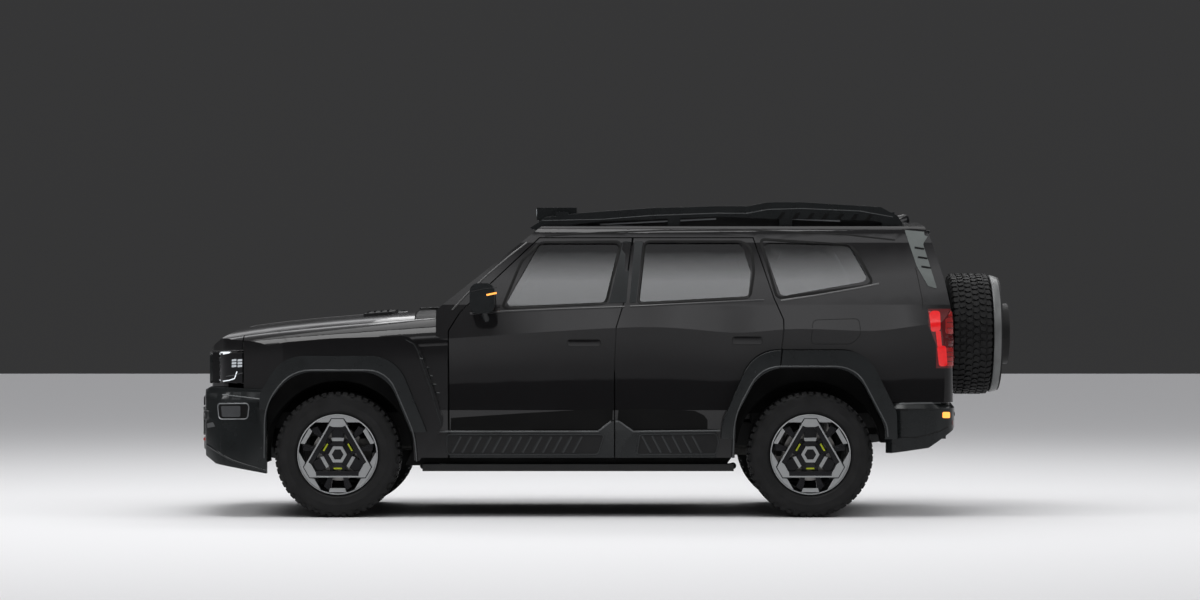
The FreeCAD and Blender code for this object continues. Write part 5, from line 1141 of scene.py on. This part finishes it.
def make_spare_details():
    """The spare cover's rim, face and spokes, and the hub and cap at its middle."""
    low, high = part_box("spare_cover")
    centre = node_middle("spare_tyre")
    face, hub = low.x, high.x
    radius = (high.y - low.y) / 2
    rim = [(radius - 0.060, face + 0.002), (radius + 0.012, face + 0.002), (radius + 0.014, face + 0.012),
           (radius + 0.004, face + 0.048), (radius - 0.020, face + 0.058), (radius - 0.060, face + 0.062)]
    dish = [(0.0, face + 0.0615), (0.10, face + 0.0625), (0.24, face + 0.0640),
            (radius - 0.058, face + 0.0620), (radius - 0.058, face + 0.030), (0.0, face + 0.030)]
    ring = [(0.085, face + 0.05), (0.085, hub - 0.012), (0.094, hub - 0.004), (0.118, hub - 0.004),
            (0.126, hub - 0.014), (0.132, face + 0.05)]
    cap = [(0.0, hub - 0.010), (0.070, hub - 0.010), (0.084, hub - 0.016), (0.084, face + 0.05),
           (0.0, face + 0.05)]

    def turned_piece(name, profile, steps, material, closed=True, bevel=0.0):
        form = lathe([(r, x - centre.x) for r, x in profile], centre, steps, "x", closed)
        piece(f"cover_{name}", form, material, "tailgate", bevel=bevel)

    turned_piece("rim", rim, 96, COVER, bevel=0.002)
    turned_piece("face", dish, 96, PLASTIC, closed=False)
    for turn in range(6):
        outline = turned(60 * turn, (-0.022, 0.10), (0.022, 0.10), (0.034, 0.285), (-0.034, 0.285))
        form = prism([(centre.y + a, centre.z + b) for a, b in outline], face + 0.050, face + 0.070, "x")
        piece(f"cover_spoke_{turn}", form, SATIN, "tailgate", bevel=0.003)
    turned_piece("hub", ring, 64, SATIN)
    turned_piece("cap", cap, 48, GLOSS, closed=False)


def make_rear_bumper():
    """The shelf with a painted highlight along it, side markers, reflectors, parking sensors and the plate's
    place in the rear bumper.
    """
    tree = skin("rear_bumper")
    side, rear, middle = Surface(tree), Surface(tree, "rear"), Surface(tree, "rear", both=False)
    marker = rounded(side.struck((942.5, 418), (942.5, 412), (950, 412), (950, 418)), 0.008, 3)
    side.plate("side_marker", marker, 0.003, AMBER_LAMP, grid=0.02)
    # The shelf line is a painted highlight in pale grey.
    for name, width, lift, material, places in (
            ("shelf_line", 0.010, 0.0025, EDGE, ((887, 404), (915, 403.2), (941, 402.8))),
            ("shelf_edge", 0.005, 0.002, SEAL, ((889, 410.5), (915, 409.6), (941, 409))),
            ("corner_line", 0.006, 0.002, SEAL, ((893, 437), (916, 437.5), (938, 432), (948, 427)))):
        side.band(f"bumper_{name}", side.struck(*places), width, lift, material, sink=0.003, other=-0.93)
    # The reflector wears the dark red lamp material, so it has a faint painted glow.
    reflector = rounded(rectangle((-0.80, 0.565), (-0.66, 0.595)), 0.008, 3)
    rear.plate("rear_reflector", reflector, 0.004, DARK_RED)
    blank = rounded(rectangle((-0.25, 0.545), (0.25, 0.655)), 0.010, 3)
    middle.plate("plate_rear", blank, 0.006, PLASTIC, bevel=0.0015, grid=0.08)
    middle.band("plate_rear_frame", blank, 0.010, 0.010, SATIN, closed=True, step=0.05)
    button = [(0.0, 0.0035), (0.009, 0.0035), (0.0125, 0.002), (0.0125, -0.004), (0.0, -0.004)]
    for step, y in enumerate((0.36, 0.60)):
        form = lathe(button, (rear.depth(y, 0.63, 2.3), y, 0.63), 24, "x", False)
        pair(f"rear_sensor_{step}", mirrored(form), PLASTIC)


# The roof

def make_roof():
    """Slots and lines of the rack, with a painted highlight along its top and silver strips that paint the
    reflection seen under it, the light bar's lenses, ribs, an aerial and the high brake lamp.
    """
    tree = skin("roof_rack")
    rack, bar = Surface(tree), Surface(tree, "front", both=False)
    for step in range(7):
        px = 777 + step * 14.6
        top, low = 212.4 + step * 0.35, 219.0 + step * 0.25
        slot = rack.struck((px, low), (px + 4.2, low), (px + 8.6, top), (px + 4.6, top))
        rack.plate(f"rack_slot_{step}", slot, 0.0016, LINER)
    # A painted highlight in pale grey along the top of the rack.
    path = rack.struck((545, 226), (600, 219.5), (652, 215.5), (718, 213.2), (746, 213.5), (768, 209.5),
                       (802, 208.5), (860, 211), (893, 217))
    rack.band("rack_line", path, 0.005, 0.0015, EDGE, sink=0.003)
    roof = Surface(skin("roof", "body_side_left", "body_side_right"), "top")
    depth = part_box("roof_rack")[0].y + 0.035
    upper = [seen(*place, depth) for place in ((556, 227), (575, 222.5), (600, 220), (650, 217), (716, 215),
                                               (760, 215.5), (830, 216.5), (880, 219), (893, 222))]
    lower = [(x, min(roof.depth(x, depth, z), z) - 0.003) for x, z in upper]
    pair("rack_skirt", prism(upper + lower[::-1], depth, depth + 0.012), PLASTIC)
    # Silver strips that paint the reflection of the roof seen in the gap under the rack.
    for name, places in (("front", ((600, 225.2), (716, 219.6), (716, 218.2), (600, 223.8))),
                         ("rear", ((749, 217.6), (840, 221.8), (840, 220.4), (749, 216.2)))):
        outline = [seen(*place, depth) for place in places]
        pair(f"rack_light_{name}", prism(outline, depth - 0.004, depth + 0.002), SILVER)
    for step in range(5):
        y = -0.335 + step * 0.1675
        lens = rounded(rectangle((y - 0.065, 1.872), (y + 0.065, 1.914)), 0.010, 3)
        bar.plate(f"roof_lamp_{step}", lens, 0.003, LENS, crown=0.003)
    for step in range(3):
        y = 0.12 + step * 0.15
        roof.band(f"roof_rib_{step}", [(-0.10, y), (0.8, y), (1.80, y)], 0.030, 0.005, PAINT, step=0.08)
    depth = roof.depth(1.86, 0.0, 1.84)
    base = [(1.79, -0.004), (1.86, -0.032), (1.93, -0.026), (1.95, 0.0), (1.93, 0.026), (1.86, 0.032),
            (1.79, 0.004)]
    rings = []
    for share, rise, shift in ((1.0, -0.004, 0.0), (0.86, 0.018, 0.012), (0.55, 0.040, 0.030),
                               (0.16, 0.052, 0.050)):
        rings.append([(1.87 + (x - 1.87) * share + shift, y * share, depth + rise) for x, y in base])
    piece("roof_aerial", loft(rings), GLOSS)
    for name, y in (("left", -0.40), ("right", 0.40)):
        piece(f"light_bar_stay_{name}", tube([(-0.40, y, 1.868), (-0.40, y, 1.80)], 0.008, 10), CHASSIS)
    spoiler = Surface(skin("rear_spoiler", "roof", "tailgate"), "rear", both=False)
    spoiler.band("brake_lamp", [(-0.25, 1.755), (0.25, 1.755)], 0.018, 0.005, DARK_RED, step=0.05, other=2.0)


# Under the vehicle

SPRING_RADIUS = 0.055
SPRING_HEIGHT = 0.27


def make_underbody():
    """Exhaust, drive shafts, springs and dampers."""
    pipe = [(-1.15, 0.30, 0.46), (-0.70, 0.30, 0.44), (0.10, 0.28, 0.43), (0.85, 0.28, 0.44),
            (1.05, 0.30, 0.50), (1.25, 0.32, 0.60), (1.45, 0.36, 0.56), (1.55, 0.38, 0.48),
            (1.66, 0.40, 0.455)]
    piece("exhaust_pipe", tube(pipe, 0.028, 16), IRON)
    can = [(0.0, -0.30), (0.06, -0.30), (0.088, -0.27), (0.092, 0.0), (0.088, 0.27), (0.06, 0.30),
           (0.0, 0.30)]
    piece("exhaust_silencer", lathe(can, (0.0, 0.28, 0.43), 32, "x", False), IRON)
    tip = [(0.029, 0.0), (0.036, 0.0), (0.037, 0.10), (0.030, 0.10)]
    piece("exhaust_tip", lathe(tip, (1.60, 0.40, 0.452), 32, "x"), SILVER)
    piece("rear_shaft", tube([(0.05, 0.02, 0.47), (1.15, 0.0, 0.39)], 0.032, 20), IRON)
    piece("front_shaft", tube([(-0.30, -0.18, 0.47), (-1.45, -0.16, 0.40)], 0.024, 16), IRON)
    damper = [(0.0, 0.0), (0.024, 0.0), (0.026, 0.01), (0.026, 0.19), (0.014, 0.20), (0.012, 0.32),
              (0.0, 0.32)]
    for end, x, across, low, shift in (("front", -1.6515, 0.50, 0.42, 0.0),
                                       ("rear", 1.2585, 0.46, 0.45, 0.12)):
        for name, y in ((f"{end}_left", -across), (f"{end}_right", across)):
            coil = []
            for step in range(97):
                angle = TURN * step / 16
                coil.append((x + SPRING_RADIUS * math.cos(angle), y + SPRING_RADIUS * math.sin(angle),
                             low + SPRING_HEIGHT * step / 96))
            piece(f"spring_{name}", tube(coil, 0.0075, 8), IRON)
            piece(f"damper_{name}", lathe(damper, (x + shift, y, low - 0.02), 24, "z", False), STEEL)


# Inside the cabin

BENCH_PLACE = 0.385
SEAT_LEAN = 16
SCREEN_LEAN = -8


def pillow(low, high, crown, pull):
    """A closed cushion between two corners: crowned faces, sides that pull in between the corners."""
    middle = [(a + b) / 2 for a, b in zip(low, high)]
    half = [(b - a) / 2 for a, b in zip(low, high)]
    work = bmesh.new()
    bmesh.ops.create_cube(work, size=2.0)
    bmesh.ops.subdivide_edges(work, edges=work.edges[:], cuts=7, use_grid_fill=True)
    points = []
    for vertex in work.verts:
        place = vertex.co.copy()
        fade = [1 - abs(value) ** 2.6 for value in place]
        rise = [crown[axis] * fade[(axis + 1) % 3] * fade[(axis + 2) % 3] for axis in range(3)]
        shrink = 1 - pull * (1 - abs(place.x) ** 3) * (1 - abs(place.y) ** 3)
        soft = place.lerp(place.normalized() * max(abs(value) for value in place), 0.16)
        points.append(tuple(
            middle[axis] + value * (half[axis] * shrink - crown[axis])
            + math.copysign(rise[axis] * min(1, abs(value)), value) for axis, value in enumerate(soft)))
    faces = [[vertex.index for vertex in face.verts] for face in work.faces]
    work.free()
    return points, faces


def tilted(form, pivot, degrees=SEAT_LEAN):
    """A form leant back about an axis across the vehicle."""
    turn = Matrix.Rotation(math.radians(degrees), 4, "Y")
    return moved(form, Matrix.Translation(pivot) @ turn @ Matrix.Translation([-value for value in pivot]))


def soft_piece(name, form):
    """A padded piece of the cabin, with its surface subdivided."""
    made = piece(name, form, LEATHER, angle=80)
    smooth = made.modifiers.new("smooth", "SUBSURF")
    smooth.levels = smooth.render_levels = 1
    return made


def make_seat(name, x, y, width, rise, heads):
    """A seat: cushion, back, base, headrests on their stalks and seams."""
    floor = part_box("seats")[0].z
    top = floor + rise
    half = width / 2
    pivot = (x + 0.50, y, top)
    cushion = pillow((x, y - half, top - 0.06), (x + 0.50, y + half, top + 0.10), (0.012, 0.010, 0.022), 0.04)
    back = pillow((x + 0.40, y - half * 0.95, top + 0.04), (x + 0.54, y + half * 0.95, top + 0.66),
                  (0.020, 0.010, 0.014), 0.03)
    made = soft_piece(f"seat_{name}_cushion", cushion)
    soft_piece(f"seat_{name}_back", tilted(back, pivot))
    base = box((x + 0.06, y - width * 0.42, floor), (x + 0.46, y + width * 0.42, top - 0.05))
    piece(f"seat_{name}_base", base, PLASTIC, bevel=0.012)
    for index, head_y in enumerate(heads):
        if name == "bench":
            head = pillow((x + 0.425, head_y - 0.13, top + 0.665), (x + 0.515, head_y + 0.13, top + 0.80),
                          (0.014, 0.010, 0.012), 0.03)
        else:
            head = pillow((x + 0.425, head_y - 0.15, top + 0.68), (x + 0.525, head_y + 0.15, top + 0.86),
                          (0.016, 0.010, 0.014), 0.03)
        soft_piece(f"seat_{name}_head_{index}", tilted(head, pivot))
        for suffix, shift in (("a", -0.05), ("b", 0.05)):
            place = (x + 0.475, head_y + shift)
            stalk = tube([(*place, top + 0.60), (*place, top + 0.72)], 0.006, 10)
            piece(f"seat_{name}_stalk_{index}_{suffix}", tilted(stalk, pivot), SILVER)
    seams = []
    for seam_y in (y - width * 0.30, y + width * 0.30):
        seams.append(tube([(x + 0.04, seam_y, top + 0.088), (x + 0.25, seam_y, top + 0.100),
                           (x + 0.42, seam_y, top + 0.094)], 0.0035, 6))
    piece(f"seat_{name}_seams", joined(*seams), SEAL)
    return made


def make_seats():
    """Two front seats and a rear bench."""
    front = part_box("seats")[0].x
    first = make_seat("driver", front, -0.37, 0.50, 0.29, [-0.37])
    make_seat("passenger", front, 0.37, 0.50, 0.29, [0.37])
    make_seat("bench", BENCH_PLACE, 0.0, 1.18, 0.30, [-0.40, 0.0, 0.40])
    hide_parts("seats")


def make_dash():
    """Screens, vents and console of the dashboard, and the doors' arm rests."""
    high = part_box("dashboard")[1]
    tree = skin("dashboard")
    x = high.x - 0.10
    top = Surface(tree, "top").depth(x, 0.0, high.z)
    for name, low, far in (("middle", (x, -0.20, top - 0.03), (x + 0.018, 0.20, top + 0.075)),
                           ("driver", (x, -0.54, top - 0.03), (x + 0.016, -0.26, top + 0.055))):
        piece(f"screen_{name}", tilted(box(low, far), (x, 0, top), SCREEN_LEAN), SCREEN, bevel=0.004)
    front = Surface(tree, "rear").depth(0.5, 1.12, high.x)
    for step, y in enumerate((-0.66, -0.10, 0.10, 0.66)):
        vent = rounded(rectangle((y - 0.055, 1.10), (y + 0.055, 1.15)), 0.012, 3)
        piece(f"dash_vent_{step}", prism(vent, front - 0.004, front + 0.007, "x"), SATIN, bevel=0.002)
    glove = rounded(rectangle((0.24, 0.93), (0.62, 1.07)), 0.02, 3)
    piece("glove_line", prism(glove, front - 0.03, front + 0.002, "x"), PLASTIC, bevel=0.003)
    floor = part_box("seats")[0].z
    console = [(-0.62, floor), (0.10, floor), (0.10, floor + 0.30), (-0.28, floor + 0.33),
               (-0.62, floor + 0.24)]
    piece("console", prism(rounded(console, 0.03, 3), -0.10, 0.10), PLASTIC, bevel=0.006)
    knob = [(0.0, 0.0), (0.010, 0.0), (0.009, 0.05), (0.022, 0.062), (0.026, 0.08), (0.020, 0.10),
            (0.0, 0.105)]
    piece("gear_knob", lathe(knob, (-0.44, 0.0, floor + 0.27), 24, "z", False), GLOSS)
    for name, before, behind in (("front", 0.17, -0.22), ("rear", 0.19, -0.45)):
        low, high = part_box(f"door_{name}_left")
        rest = rounded(rectangle((low.x + before, 0.93), (high.x + behind, 0.985)), 0.02, 3)
        pair(f"arm_rest_{name}", prism(rest, -0.82, -0.745), LEATHER, f"door_{name}_SIDE", bevel=0.008)


# Camera, floor and light

# The studio's grey at heights from below the floor to straight above
WORLD_LEVELS = ((0.0, 0.035), (0.20, 0.04), (0.40, 0.07), (0.50, 0.30), (0.57, 1.4), (0.64, 1.6),
                (0.73, 0.20), (1.0, 0.15))
# Lights: place, the point they face, width, height and power
LIGHTS = {
    "key": ((-2.5, -3.6, 11.5), (0, -0.3, 0.8), 10.0, 4.0, 560),
    "top": ((0.5, 1.0, 9.0), (0, 0, 0), 8.0, 5.0, 200),
    "far": ((1.5, 8.0, 9.5), (0, 0, 1.0), 9.0, 3.0, 240),
    "rear": ((9.5, -2.0, 8.0), (0, 0, 1.0), 5.0, 3.0, 200),
    "front": ((-9.5, -3.0, 8.0), (0, 0, 1.0), 5.0, 3.0, 240),
}


def make_camera():
    """The photograph's camera: level, square to the left side."""
    data = bpy.data.cameras.new("camera")
    data.lens = CAMERA_LENS
    data.sensor_width = CAMERA_SENSOR
    data.shift_x, data.shift_y = CAMERA_SHIFT
    data.clip_end = 200
    made = bpy.data.objects.new("camera", data)
    made.location = CAMERA_PLACE
    made.rotation_euler = (math.radians(90), 0, 0)
    bpy.context.scene.collection.objects.link(made)
    bpy.context.scene.camera = made


def make_floor():
    """A plain pale floor."""
    mesh = bpy.data.meshes.new("floor")
    mesh.from_pydata([(-110, -110, 0), (110, -110, 0), (110, 60, 0), (-110, 60, 0)], [], [[0, 1, 2, 3]])
    mesh.materials.append(shader("floor", (0.80, 0.80, 0.81), 0.75))
    floor = bpy.data.objects.new("floor", mesh)
    bpy.context.scene.collection.objects.link(floor)


def make_light():
    """A grey studio with soft boxes above the vehicle on all sides."""
    world = bpy.data.worlds.new("studio")
    bpy.context.scene.world = world
    world.use_nodes = True
    nodes, links = world.node_tree.nodes, world.node_tree.links
    place = nodes.new("ShaderNodeTexCoord")
    split = nodes.new("ShaderNodeSeparateXYZ")
    links.new(place.outputs["Generated"], split.inputs["Vector"])
    tone = nodes.new("ShaderNodeValToRGB")
    stops = tone.color_ramp.elements
    stops[0].position, stops[1].position = WORLD_LEVELS[0][0], WORLD_LEVELS[-1][0]
    for position, _ in WORLD_LEVELS[1:-1]:
        stops.new(position)
    for element, (_, level) in zip(stops, WORLD_LEVELS):
        element.color = (level, level, level * 1.02, 1)
    links.new(split.outputs["Z"], tone.inputs["Fac"])
    links.new(tone.outputs["Color"], nodes["Background"].inputs["Color"])
    nodes["Background"].inputs["Strength"].default_value = 1.0
    for name, (where, target, width, height, power) in LIGHTS.items():
        data = bpy.data.lights.new(name, "AREA")
        data.shape = "RECTANGLE"
        data.size, data.size_y = width, height
        data.energy = power
        made = bpy.data.objects.new(name, data)
        made.location = where
        made.rotation_euler = (Vector(target) - Vector(where)).to_track_quat("-Z", "Y").to_euler()
        bpy.context.scene.collection.objects.link(made)


for make in (make_camera, make_floor, make_light, dress_nodes, make_wheels, make_windows, make_panels,
             make_undercut_shade, make_gap_backs, make_cladding, make_flare_highlights, make_mirrors, make_lamps,
             make_grille, make_front_bumper, make_hood, make_tail_lamps, make_gate, make_spare_details,
             make_rear_bumper, make_roof, make_underbody, make_seats, make_dash):
    make()

bpy.context.scene.view_settings.view_transform = "Standard"
bpy.context.view_layer.update()
